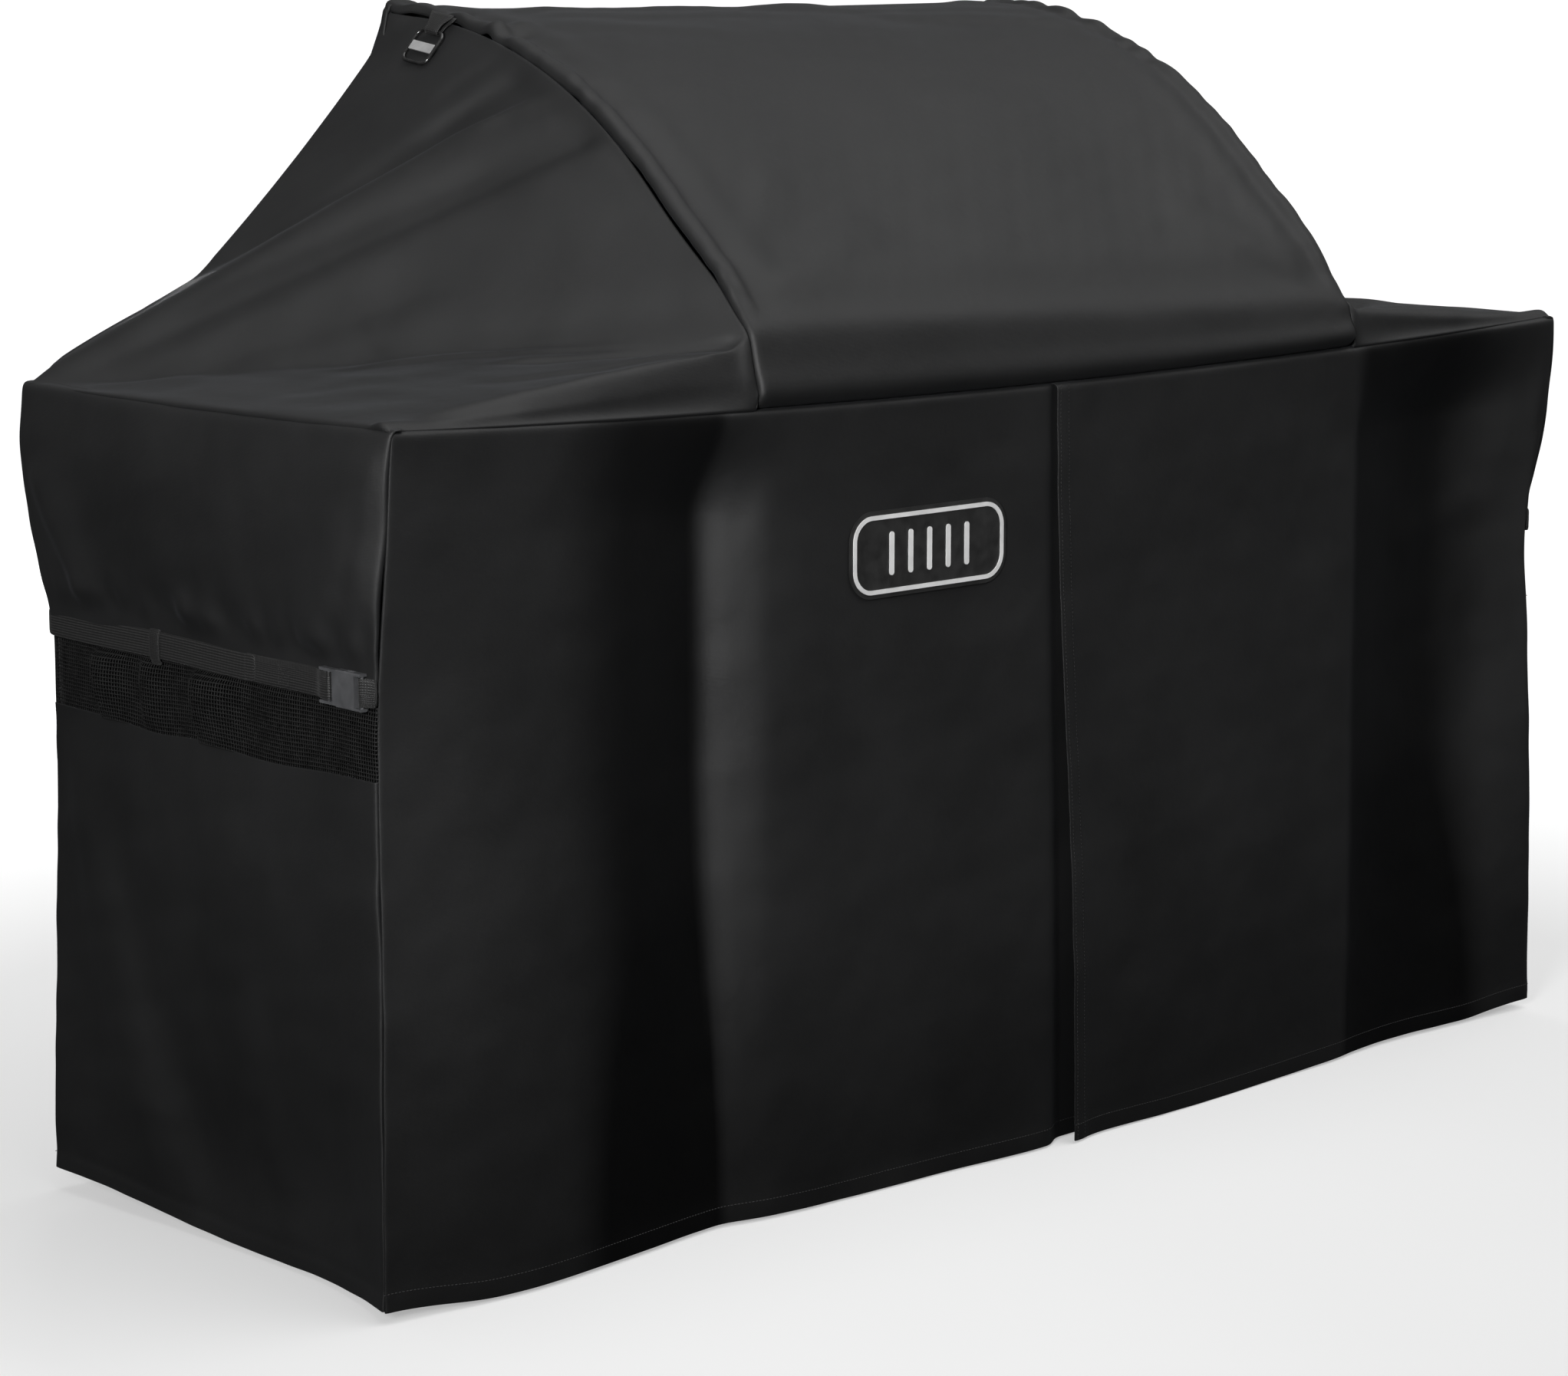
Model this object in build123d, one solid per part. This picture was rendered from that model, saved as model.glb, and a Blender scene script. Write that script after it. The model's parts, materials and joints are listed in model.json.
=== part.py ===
"""Fitted fabric cover for a free-standing grill with two side shelves and a raised hood.

All sizes are in millimetres.  +Z is up, the hem rests on z = 0, the front faces -Y and the
origin is in the middle of the footprint.  The cover is sewn from flat panels that meet edge to
edge.  At each end it has a mesh vent, a webbing strap with a side-release buckle, and a metal
ring that swings in a webbing tab at the top of the hood.
"""
from build123d import *
import os
from math import cos, radians, sin, tan

os.makedirs("parts", exist_ok=True)

# ------------------------------------------------------------------ driving dimensions
# Overall shape
cover_width = 1910.0        # along X, fabric to fabric
cover_depth = 647.0         # along Y, front face to back face
shelf_height = 937.0        # hem to the seam round the shelves
hood_width = 1010.0         # along X
hood_offset = 65.0          # hood centre, to the right of the cover's middle
hood_height = 418.0         # shelf seam to the ridge
fascia_height = 62.0        # upright front of the hood
slope_angle = 43.5          # front slope of the hood, from level, in degrees
crease_radius = 6.0         # soft fold between fascia and slope
shelf_lip = 8.0             # rolled edge of the gusset above the shelf seam
fold_share = 0.58           # where the gusset's fold leaves the rear edge, as a share of the shelf
fold_rise = 110.0           # height of that point above the shelf seam
rear_sag = 24.0             # hollow of the rear edge between the fold and the ridge
crown_steps = 8             # flat strips that stand for the crown's curve in a gusset
rear_steps = 4              # straight lengths in the hollow rear edge

# Cloth
fabric = 1.5                # thickness of the panels
hem_fold = 25.0             # height of the turned-in hem
mesh_thickness = 1.0
vent_height = 93.0          # mesh below the strap

# Centre placket: the right front panel laps over the left one
placket_x = 28.0            # free edge of the right panel
facing_width = 20.0         # stitched facing behind that edge
underlap_front = 30.0       # underlap's seam, to the left of the free edge
underlap_seam = 20.0        # width of that seam
underlap_back = 32.0        # how far the underlap runs behind the right panel

# Webbing and its straps
webbing = 1.6               # thickness
webbing_width = 30.0
strap_height = 673.0        # strap centre above the hem
strap_under_plug = 20.0     # how far the strap runs in under the buckle's plug
tail_length = 145.0         # loose tail behind the buckle
tail_tuck = 4.0             # hidden end of the tail under its ladder bar
tail_fall = 10.0            # the tail reaches the strap this far behind the plug
keeper_place = 93.0         # keeper loop, behind the cover's middle
keeper_width = 20.0
keeper_ear = 5.0            # sewn-down length above and below the strap
eye_slit = 0.3              # opening between the anchor's two layers at their seam
slide_gap = 0.4             # between pieces that slide past each other
fit_gap = 0.3               # between pieces that turn or plug together

# Side-release buckle, all lengths along the strap unless said otherwise
buckle_inset = 28.0         # front panel to the buckle's front end
web_side_gap = 1.8          # webbing's edge to the side arms of a frame
buckle_thickness = 10.0     # out from the cover
socket_length = 42.0
socket_arm = 10.0           # open frame in front of the socket's hollow
socket_wall = 2.0           # top and bottom skins
socket_side = 3.7           # side walls
socket_floor = 3.0          # end wall of the hollow
socket_corner = 1.6         # rounding of its long outer edges
window_length = 13.0        # side openings where the prongs show
window_start = 14.0         # mouth to window
bar_radius = 2.0            # bars that carry the webbing
frame_arm = 3.2             # side arms of the open frames, across the strap
plug_length = 28.0
plug_inset = 1.0            # how far the plug's sides stand inside the socket's
plug_thickness = 7.0
plug_block = 6.0            # solid part that carries tongue and prongs
plug_bar_back = 15.0        # block's front face to the ladder bar
plug_lip = 3.0              # thickness of the low bar under the tail
plug_lip_width = 4.0        # along the strap
plug_lip_drop = 1.0         # how far it lies below the plug's side arms
mouth_gap = 2.0             # socket mouth to plug
tongue_width = 10.0         # across the strap
tongue_length = 27.0
prong_set_in = 4.3          # hollow's side to the middle of the prong's arm
prong_knuckle = 3.0         # radius of the prong's root
prong_arm = 3.0             # thickness of the springy arm
prong_head = 10.0           # length of the head
prong_head_height = 7.0     # across the strap
plug_travel = 30.0          # how far the plug pulls out

# Ring and its tab
ring_place = 0.81           # along the crown's curve, as a share of it from the front
ring_width = 46.0           # wire centre to wire centre, along the seam
ring_drop = 44.0            # wire centre to wire centre, down the slope
ring_wire = 2.25            # wire radius
ring_corner = 10.0
ring_below_seam = 26.0      # seam to hinge line
tab_seam_gap = 0.5          # seam to the tab's sewn end
tab_thickness = 1.4
label_height = 12.0
label_thickness = 2.2
label_drop = 17.0           # hinge line to the label

# Badge on the left front panel
badge_x = -180.0
badge_height = 749.0        # its centre above the hem
badge_length = 250.0
badge_width = 100.0
badge_corner = 34.0
badge_plate_thickness = 1.5
badge_relief = 1.2          # rim and bars above the plate
badge_rim_width = 5.0
badge_rim_inset = 5.0
bar_count = 5
bar_pitch = 30.0
bar_width = 7.0
bar_length = 50.0
bar_corner = 3.4

# ------------------------------------------------------------------ worked-out places
badge_depth = badge_plate_thickness + badge_relief
back_y = (cover_depth + badge_depth) / 2
front_y = back_y - cover_depth
end_x = cover_width / 2
hood_left = hood_offset - hood_width / 2
hood_right = hood_offset + hood_width / 2
fascia_top = shelf_height + fascia_height
ridge = shelf_height + hood_height
panel_back = back_y - fabric            # inner face of the back panel
vent_bottom = strap_height - vent_height

# The crown's curve is level where it meets the back panel.
slope_run = (ridge - fascia_top) / tan(radians(slope_angle))
crown_tangent = panel_back - (front_y + slope_run)
crown_radius = crown_tangent / tan(radians(slope_angle / 2))
arc_slack = 0.01            # leaves a trace of level cloth behind the arc, so that it can be drawn


# ------------------------------------------------------------------ helpers
def block(x, y, z):
    """A box from three pairs of limits."""
    size = (x[1] - x[0], y[1] - y[0], z[1] - z[0])
    centre = Location(((x[0] + x[1]) / 2, (y[0] + y[1]) / 2, (z[0] + z[1]) / 2))
    return centre * Box(*size)


def upright(points, y_near, thickness):
    """A flat upright panel from (x, z) points, its near face at y_near."""
    face = Plane.XZ * make_face(Polyline(*points, close=True))
    return Location((0, y_near, 0)) * extrude(face, amount=-thickness)


def save(shape, node):
    export_step(shape, f"parts/{node}.step")


# ------------------------------------------------------------------ hood curve
def hood_line(inset):
    """The hood's section from fascia to ridge as (y, z), moved in by inset."""
    angle = radians(slope_angle)
    low_y = front_y + inset
    corner_z = fascia_top - inset * cos(angle) + (inset - inset * sin(angle)) * tan(angle)
    high_z = ridge - inset
    top_y = low_y + (high_z - corner_z) / tan(angle)
    return FilletPolyline(
        (low_y, shelf_height),
        (low_y, corner_z),
        (top_y, high_z),
        (panel_back, high_z),
        radius=[crease_radius - inset, crown_radius - inset - arc_slack],
    )


def crown_point(share):
    """A point (y, z) of the crown's curve, 0 at its front and 1 at the back panel."""
    angle = radians(slope_angle) * (1 - share)
    return (panel_back - crown_radius * sin(angle), ridge - crown_radius * (1 - cos(angle)))


def rear_point(side, share):
    """A point (x, z) of the hollow rear edge, 0 at the fold and 1 at the ridge."""
    hood_x, start_x, start_z = rear_start(side)
    run = hood_x - start_x
    rise = ridge - start_z
    sag = 4 * rear_sag * share * (1 - share) / (run ** 2 + rise ** 2) ** 0.5
    return (start_x + run * share - side * rise * sag, start_z + rise * share - abs(run) * sag)


def rear_start(side):
    """Hood side, and the (x, z) where the gusset's fold leaves the rear edge."""
    hood_x = hood_left if side < 0 else hood_right
    shelf = abs(side * end_x - hood_x)
    return hood_x, hood_x + side * shelf * fold_share, shelf_height + fold_rise


# ------------------------------------------------------------------ panels
def lid_panel():
    """Fascia, slope and top in one length of cloth."""
    outer = hood_line(0)
    inner = hood_line(fabric)
    ends = [Line(outer @ 0, inner @ 0), Line(outer @ 1, inner @ 1)]
    face = make_face([*outer.edges(), *inner.edges(), *ends])
    return Location((hood_left, 0, 0)) * extrude(Plane.YZ * face, amount=hood_width)


def gusset_corners(side):
    """The gusset's outer corners: hood edge, crown points, rear edge and shelf corners."""
    hood_x = rear_start(side)[0]
    nose = Vector(hood_x, front_y, fascia_top)
    crown = []
    for step in range(crown_steps + 1):
        y, z = crown_point(step / crown_steps)
        crown.append(Vector(hood_x, y, z))
    rear = []
    for step in range(rear_steps):
        x, z = rear_point(side, step / rear_steps)
        rear.append(Vector(x, panel_back, z))
    return nose, crown, rear


def gusset_panel(side):
    """Sloping cloth between the hood and one shelf, as a folded sheet of flat strips."""
    hood_x = rear_start(side)[0]
    nose, crown, rear = gusset_corners(side)
    front_low = Vector(side * end_x, front_y, shelf_height)
    front_high = front_low + Vector(0, 0, shelf_lip)
    back_low = Vector(side * end_x, panel_back, shelf_height)
    back_high = back_low + Vector(0, 0, shelf_lip)
    hood_front = Vector(hood_x, front_y, shelf_height)
    hood_back = Vector(hood_x, panel_back, shelf_height)

    rings = [
        [hood_front, front_low, front_high, nose],
        [front_low, back_low, back_high, front_high],
        [front_high, back_high, nose],
        [back_high, nose, crown[0]],
    ]
    fold = crown_steps - rear_steps
    rings += [[back_high, crown[step], crown[step + 1]] for step in range(fold)]
    rings.append([back_high, crown[fold], rear[0]])
    for step in range(rear_steps - 1):
        rings.append([crown[fold + step], rear[step], rear[step + 1]])
        rings.append([crown[fold + step], rear[step + 1], crown[fold + step + 1]])
    rings.append([crown[-2], rear[-1], crown[-1]])
    rings.append([hood_front, nose, *crown, hood_back])
    rings.append([back_low, back_high, *rear, crown[-1], hood_back])
    rings.append([hood_front, front_low, back_low, hood_back])

    faces = [Face(Wire.make_polygon(ring, close=True)) for ring in rings]
    tent = Solid(Shell(faces))
    hollow = Location((-side * fabric, fabric, -fabric)) * tent
    return tent - hollow


def back_panel():
    """One flat panel from the hem up over both shelf shoulders to the ridge."""
    outline = []
    for side in (-1, 1):
        half = [(side * end_x, 0), (side * end_x, shelf_height + shelf_lip)]
        half += [rear_point(side, step / rear_steps) for step in range(rear_steps)]
        half.append((rear_start(side)[0], ridge))
        outline += half if side < 0 else reversed(half)
    panel = upright(outline, panel_back, fabric)
    inner = end_x - fabric
    hem = block((-inner, inner), (panel_back - fabric, panel_back), (0, hem_fold))
    return panel + hem


def front_panel_left():
    """Left front, with an underlap that runs on behind the right panel."""
    layer = [front_y + step * fabric for step in range(4)]
    seam = placket_x - underlap_front
    tall = (0, shelf_height)
    panel = block((-end_x, placket_x), (layer[0], layer[1]), tall)
    web = block((seam, seam + underlap_seam), (layer[1], layer[2]), tall)
    underlap = block((seam, placket_x + underlap_back), (layer[2], layer[3]), tall)
    hem = block((fabric - end_x, seam), (layer[1], layer[2]), (0, hem_fold))
    return panel + web + underlap + hem


def front_panel_right():
    panel = block((placket_x, end_x), (front_y, front_y + fabric), (0, shelf_height))
    hem_run = (placket_x + facing_width, end_x - fabric)
    hem = block(hem_run, (front_y + fabric, front_y + 2 * fabric), (0, hem_fold))
    return panel + hem


def placket_facing():
    """Folded strip stitched behind the right panel's free edge."""
    run = (placket_x, placket_x + facing_width)
    return block(run, (front_y + fabric, front_y + 2 * fabric), (0, shelf_height))


def end_strip(low, high, thickness):
    """Left end panel between two heights."""
    run = (front_y + fabric, back_y - fabric)
    return block((-end_x, thickness - end_x), run, (low, high))


def end_lower():
    run = (front_y + 2 * fabric, back_y - 2 * fabric)
    hem = block((fabric - end_x, 2 * fabric - end_x), run, (0, hem_fold))
    return end_strip(0, vent_bottom, fabric) + hem


# ------------------------------------------------------------------ strap and buckle
# These are built at the left end in the strap's own frame: u runs back along the cover,
# v is the distance out from the cloth and w is up from the strap's centre line.
strap_plane = Plane(origin=(-end_x, 0, strap_height), x_dir=(0, 1, 0), z_dir=(0, 0, 1))
buckle_base = webbing + slide_gap
buckle_middle = buckle_base + buckle_thickness / 2
half_web = webbing_width / 2
buckle_height = webbing_width + 2 * (web_side_gap + frame_arm)
plug_height = buckle_height - 2 * plug_inset
loop_reach = bar_radius + fit_gap + webbing / 2     # bar centre to the webbing's middle

socket_front = front_y + buckle_inset
socket_bar = socket_front + bar_radius
socket_body = socket_front + socket_arm
mouth = socket_front + socket_length
plug_front = mouth + mouth_gap
plug_back = plug_front + plug_length
plug_bar = plug_front + plug_bar_back
plug_low = buckle_middle - plug_thickness / 2
plug_high = buckle_middle + plug_thickness / 2
hollow_half = buckle_height / 2 - socket_side
hollow_low = buckle_base + socket_wall
hollow_high = buckle_base + buckle_thickness - socket_wall
pivot_u = plug_front - prong_knuckle - fit_gap
prong_pivot = hollow_half - prong_set_in
prong_head_inner = hollow_half - fit_gap - prong_head_height


def band(path, width):
    """A flat strip of webbing that follows a path in u and v."""
    return Location((0, 0, -width / 2)) * extrude(trace(path, webbing), amount=width)


def strap():
    """From the back corner to just under the buckle's plug."""
    run = (plug_back - strap_under_plug, back_y)
    return block(run, (0, webbing), (-half_web, half_web))


def strap_tail():
    """Round the ladder bar, over the low bar and back along the strap."""
    lie = buckle_base + webbing / 2
    low = buckle_middle - loop_reach
    high = buckle_middle + loop_reach
    hidden = Line((plug_bar + tail_tuck, low), (plug_bar, low))
    turn = ThreePointArc((plug_bar, low), (plug_bar - loop_reach, buckle_middle), (plug_bar, high))
    rest = Polyline(
        (plug_bar, high),
        (plug_back - plug_lip_width, high - plug_lip_drop),
        (plug_back + tail_fall, lie),
        (plug_back + tail_length, lie),
    )
    return band([hidden, turn, *rest.edges()], webbing_width)


def strap_anchor():
    """Short doubled strap from the front corner seam round the socket's bar."""
    seam = front_y + fabric
    split = seam + (socket_bar - seam) / 2
    outer = loop_reach + webbing / 2
    inner = loop_reach - webbing / 2
    root = make_face(
        Polyline((seam, 0), (split, 0), (split, 2 * webbing), (seam, 2 * webbing), close=True)
    )
    cloth = root + strap_eye(split, 0, 2 * webbing, outer)
    cloth -= strap_eye(split + webbing, webbing, webbing + eye_slit, inner)
    return Location((0, 0, -half_web)) * extrude(cloth, amount=webbing_width)


def strap_eye(split, low, high, radius):
    """Drop shape from the sewn root to a round end about the socket's bar."""
    sides = make_face(
        Polyline(
            (split, low),
            (socket_bar, buckle_middle - radius),
            (socket_bar, buckle_middle + radius),
            (split, high),
            close=True,
        )
    )
    return sides + Location((socket_bar, buckle_middle)) * Circle(radius)


def strap_keeper():
    """Webbing loop that holds the strap against the end panel."""
    run = (keeper_place - keeper_width / 2, keeper_place + keeper_width / 2)
    arch = half_web + fit_gap + webbing
    ears = block(run, (0, webbing), (-arch - keeper_ear, arch + keeper_ear))
    bridge = block(run, (0, 2 * webbing + fit_gap), (-arch, arch))
    inner = half_web + fit_gap
    tunnel = block(run, (0, webbing + fit_gap), (-inner, inner))
    return ears + bridge - tunnel


def buckle_socket():
    """Hollow half with side windows, and a bar for the anchor strap."""
    half = buckle_height / 2
    deep = (buckle_base, buckle_base + buckle_thickness)
    body = block((socket_body, mouth), deep, (-half, half))
    hollow_run = (socket_body + socket_floor, mouth)
    body -= block(hollow_run, (hollow_low, hollow_high), (-hollow_half, hollow_half))
    window_run = (mouth - window_start - window_length, mouth - window_start)
    body -= block(window_run, (hollow_low, hollow_high), (-half, half))
    arms = [
        block((socket_front, socket_body), deep, (half - frame_arm, half)),
        block((socket_front, socket_body), deep, (-half, frame_arm - half)),
    ]
    bar = Location((socket_bar, buckle_middle, 0)) * Cylinder(bar_radius, buckle_height)
    socket = body + arms + bar
    rounded = [edge for edge in socket.edges().filter_by(Axis.X) if on_outer_corner(edge)]
    return fillet(rounded, socket_corner)


def on_outer_corner(edge):
    """True for a long edge on one of the socket's four outer corners."""
    place = edge.center()
    high = abs(abs(place.Z) - buckle_height / 2) < 0.01
    out = abs(abs(place.Y - buckle_middle) - buckle_thickness / 2) < 0.01
    return high and out


def buckle_plug():
    """Solid half: block, guide tongue, ladder bar and the low bar under the tail."""
    half = plug_height / 2
    deep = (plug_low, plug_high)
    front = block((plug_front, plug_front + plug_block), deep, (-half, half))
    arm_run = (plug_front + plug_block, plug_back)
    arms = [
        block(arm_run, deep, (half - frame_arm, half)),
        block(arm_run, deep, (-half, frame_arm - half)),
    ]
    bar = Location((plug_bar, buckle_middle, 0)) * Cylinder(bar_radius, plug_height)
    lip_low = plug_low - plug_lip_drop
    lip = block((plug_back - plug_lip_width, plug_back), (lip_low, lip_low + plug_lip), (-half, half))
    tongue_run = (plug_front - tongue_length, plug_front)
    tongue_deep = (hollow_low + fit_gap, hollow_high - fit_gap)
    tongue = block(tongue_run, tongue_deep, (-tongue_width / 2, tongue_width / 2))
    return front + arms + bar + lip + tongue


def buckle_prong(up):
    """Springy arm with a catch head, up = 1 above the tongue and -1 below it."""
    outer = hollow_half - fit_gap
    tip = plug_front - tongue_length
    arm_high = prong_pivot + prong_arm / 2
    outline = [
        (pivot_u, prong_pivot - prong_arm / 2),
        (pivot_u, arm_high),
        (tip + prong_head, arm_high),
        (tip + prong_head, outer),
        (tip + prong_head / 2, outer),
        (tip, prong_head_inner + prong_arm),
        (tip, prong_head_inner),
        (tip + prong_head, prong_head_inner),
        (tip + prong_head + prong_arm, prong_pivot - prong_arm / 2),
    ]
    face = make_face(Polyline(*[(u, up * w) for u, w in outline], close=True))
    face += Location((pivot_u, up * prong_pivot)) * Circle(prong_knuckle)
    thick = hollow_high - hollow_low - 2 * fit_gap
    flat = extrude(face, amount=thick)
    turned = Rot(90, 0, 0) * flat
    return Location((0, hollow_high - fit_gap, 0)) * turned


# ------------------------------------------------------------------ ring at the hood
tab_width = ring_width - 2 * ring_corner


def ring_plane(side):
    """Frame of one ring: x along the seam, y down the slope, z out of the cloth."""
    _, crown, rear = gusset_corners(side)
    before = int(ring_place * crown_steps)
    share = ring_place * crown_steps - before
    along = (crown[before + 1] - crown[before]).normalized()
    across = rear[-2] - crown[before]
    out = along.cross(across).normalized()
    if out.Z < 0:
        out = out * -1
    along = along * -side
    seam = crown[before] + (crown[before + 1] - crown[before]) * share
    stand = ring_wire + fit_gap + tab_thickness
    origin = seam + out.cross(along) * ring_below_seam + out * stand
    return Plane(origin=origin, x_dir=along, z_dir=out)


def hang_ring():
    path = Location((0, ring_drop / 2)) * RectangleRounded(ring_width, ring_drop, ring_corner)
    start = Plane(origin=(0, 0, 0), z_dir=(1, 0, 0))
    return sweep(start * Circle(ring_wire), path=path.wire())


def ring_label(ring):
    """Plain bar across the ring, let in between its wires."""
    middle = label_drop + label_height / 2
    return Location((0, middle, 0)) * Box(ring_width, label_height, label_thickness) - ring


def ring_tab():
    """Loop of webbing from the seam round the ring's upper wire."""
    reach = ring_wire + fit_gap
    top = ring_below_seam - tab_seam_gap
    length = top + reach + tab_thickness
    outer = SlotOverall(length, 2 * (reach + tab_thickness))
    inner = SlotOverall(length - 2 * tab_thickness, 2 * reach)
    loop = extrude(outer - inner, amount=tab_width)
    turned = Rot(0, 90, 0) * (Rot(0, 0, 90) * loop)
    return Location((-tab_width / 2, length / 2 - top, 0)) * turned


# ------------------------------------------------------------------ badge
def badge_slab(length, width, corner, low, high):
    """Flat rounded slab that stands out of the front between two heights."""
    face = Plane.XZ * RectangleRounded(length, width, corner)
    slab = extrude(face, amount=high - low)
    return Location((badge_x, front_y - low, badge_height)) * slab


def badge_rim():
    outer = (badge_length - 2 * badge_rim_inset, badge_width - 2 * badge_rim_inset)
    corner = badge_corner - badge_rim_inset
    slab = badge_slab(*outer, corner, badge_plate_thickness, badge_depth)
    inner = [size - 2 * badge_rim_width for size in outer]
    return slab - badge_slab(*inner, corner - badge_rim_width, badge_plate_thickness, badge_depth)


def badge_bars():
    """A row of plain upright bars."""
    bar = badge_slab(bar_width, bar_length, bar_corner, badge_plate_thickness, badge_depth)
    middle = (bar_count - 1) / 2
    return Compound([Location(((step - middle) * bar_pitch, 0, 0)) * bar
                     for step in range(bar_count)])


# ------------------------------------------------------------------ build
save(front_panel_left(), "front_panel_left")
save(front_panel_right(), "front_panel_right")
save(placket_facing(), "front_placket_facing")
save(back_panel(), "back_panel")
save(lid_panel(), "lid_panel")
save(badge_slab(badge_length, badge_width, badge_corner, 0, badge_plate_thickness), "badge_plate")
save(badge_rim(), "badge_rim")
save(badge_bars(), "badge_bars")

left_end = {
    "end_upper": end_strip(strap_height, shelf_height, fabric),
    "vent_mesh": end_strip(vent_bottom, strap_height, mesh_thickness),
    "end_lower": end_lower(),
}
strap_pieces = {
    "strap": strap(),
    "strap_tail": strap_tail(),
    "strap_anchor": strap_anchor(),
    "strap_keeper": strap_keeper(),
    "buckle_socket": buckle_socket(),
    "buckle_plug": buckle_plug(),
    "buckle_prong_upper": buckle_prong(1),
    "buckle_prong_lower": buckle_prong(-1),
}
for name, piece in strap_pieces.items():
    left_end[name] = strap_plane.location * piece
for name, piece in left_end.items():
    save(piece, f"left_{name}")
    save(mirror(piece, about=Plane.YZ), f"right_{name}")

for side, word in ((-1, "left"), (1, "right")):
    place = ring_plane(side).location
    ring = hang_ring()
    save(gusset_panel(side), f"{word}_gusset")
    save(place * ring, f"{word}_hang_ring")
    save(place * ring_label(ring), f"{word}_ring_label")
    save(place * ring_tab(), f"{word}_ring_tab")
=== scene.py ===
"""Looks for a fitted fabric grill cover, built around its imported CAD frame.

Every cloth panel is a grid that follows the CAD panel's outline and is then shaped: rolled
seams, tension folds that fan over the shelves, slack folds beside the hood, and a cinched waist
at the webbing strap.  Seams are shared curves, so that neighbouring panels meet on them.
Metres, in the CAD frame: +Z up, front towards -Y.
"""

import json
import math

import bpy
import numpy as np
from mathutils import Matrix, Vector

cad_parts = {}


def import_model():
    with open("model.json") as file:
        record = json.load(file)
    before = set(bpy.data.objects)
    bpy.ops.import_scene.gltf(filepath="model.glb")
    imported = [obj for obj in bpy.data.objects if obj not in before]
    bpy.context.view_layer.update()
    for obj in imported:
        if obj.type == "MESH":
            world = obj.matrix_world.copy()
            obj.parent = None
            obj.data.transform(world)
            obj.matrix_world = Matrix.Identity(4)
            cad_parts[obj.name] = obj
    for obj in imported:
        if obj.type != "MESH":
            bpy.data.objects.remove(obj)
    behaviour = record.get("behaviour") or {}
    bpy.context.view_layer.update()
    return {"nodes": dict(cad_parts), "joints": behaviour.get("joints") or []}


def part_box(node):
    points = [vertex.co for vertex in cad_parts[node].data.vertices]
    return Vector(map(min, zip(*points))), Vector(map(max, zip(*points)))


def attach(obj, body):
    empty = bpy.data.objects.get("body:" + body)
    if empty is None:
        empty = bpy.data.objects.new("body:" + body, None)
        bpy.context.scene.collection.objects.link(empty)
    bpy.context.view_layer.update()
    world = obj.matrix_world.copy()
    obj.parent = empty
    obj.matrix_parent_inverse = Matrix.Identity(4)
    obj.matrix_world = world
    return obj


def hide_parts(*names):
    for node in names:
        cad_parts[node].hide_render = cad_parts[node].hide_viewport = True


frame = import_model()

# ------------------------------------------------------------------ places from the CAD frame
LEFT, RIGHT = -1, 1
WORD = {LEFT: "left", RIGHT: "right"}
END_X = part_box("right_end_upper")[1].x
FRONT_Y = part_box("front_panel_left")[0].y
BACK_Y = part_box("back_panel")[1].y
SHELF_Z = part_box("front_panel_left")[1].z
RIDGE_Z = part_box("lid_panel")[1].z
HOOD_X = {LEFT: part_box("lid_panel")[0].x, RIGHT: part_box("lid_panel")[1].x}
VENT_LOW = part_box("left_vent_mesh")[0].z
STRAP_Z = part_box("left_vent_mesh")[1].z
BADGE_LOW, BADGE_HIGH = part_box("badge_plate")
DEPTH = BACK_Y - FRONT_Y

# The hood's section and the tents' rear outline
SLOPE_ANGLE = math.radians(43.5)
FASCIA_TOP = SHELF_Z + 0.062
CREASE_ROUND = 0.010
FASCIA_LEAN = 0.011         # the fascia leans back towards its crease
FOLD_SHARE = 0.58
FOLD_RISE = 0.110
REAR_SAG = 0.024
REAR_BULGE = 0.014          # the rear outline is fuller than the CAD has it, below the ring
CORNER_SPLAY = {LEFT: 0.020, RIGHT: 0.008}  # the ridge corners stand out over the ends
CORNER_LIFT = 0.006         # the ridge stands up at its left corner
RIDGE_SAG = 0.004

# ------------------------------------------------------------------ cloth
CLOTH = 0.0012              # panel thickness
FINE, COARSE = 0.0022, 0.0095  # grid steps at a seam and in the middle of a panel
SEAM_DEEP = 0.0050          # how far a seam lies inside the rolled cloth beside it
SEAM_ROUND = 0.009
CORNER_DEEP = 0.0030        # the corner seams are pulled flatter
ALLOWANCE = 0.010           # cloth turned in behind a seam
HEM_UP = 0.023              # hem stitching above the edge
SHELF_SEAM_UP = 0.008       # the shelf seams lie above the CAD's
FRONT_SEAM_SAG = 0.022      # the front shelf seam is lower in the middle
HEM_LIFT = 0.011            # the hem is drawn up at the corner seams
HEM_RIDGE = 0.0022          # half width of the ridge that the hem stitching pulls up

# Height of an end's hem, from front to back
END_HEM = ((0.0, 0.014), (0.15, 0.008), (0.32, 0.006), (0.47, 0.007), (0.62, 0.012),
           (0.78, 0.022), (0.92, 0.028), (1.0, 0.028))

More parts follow.
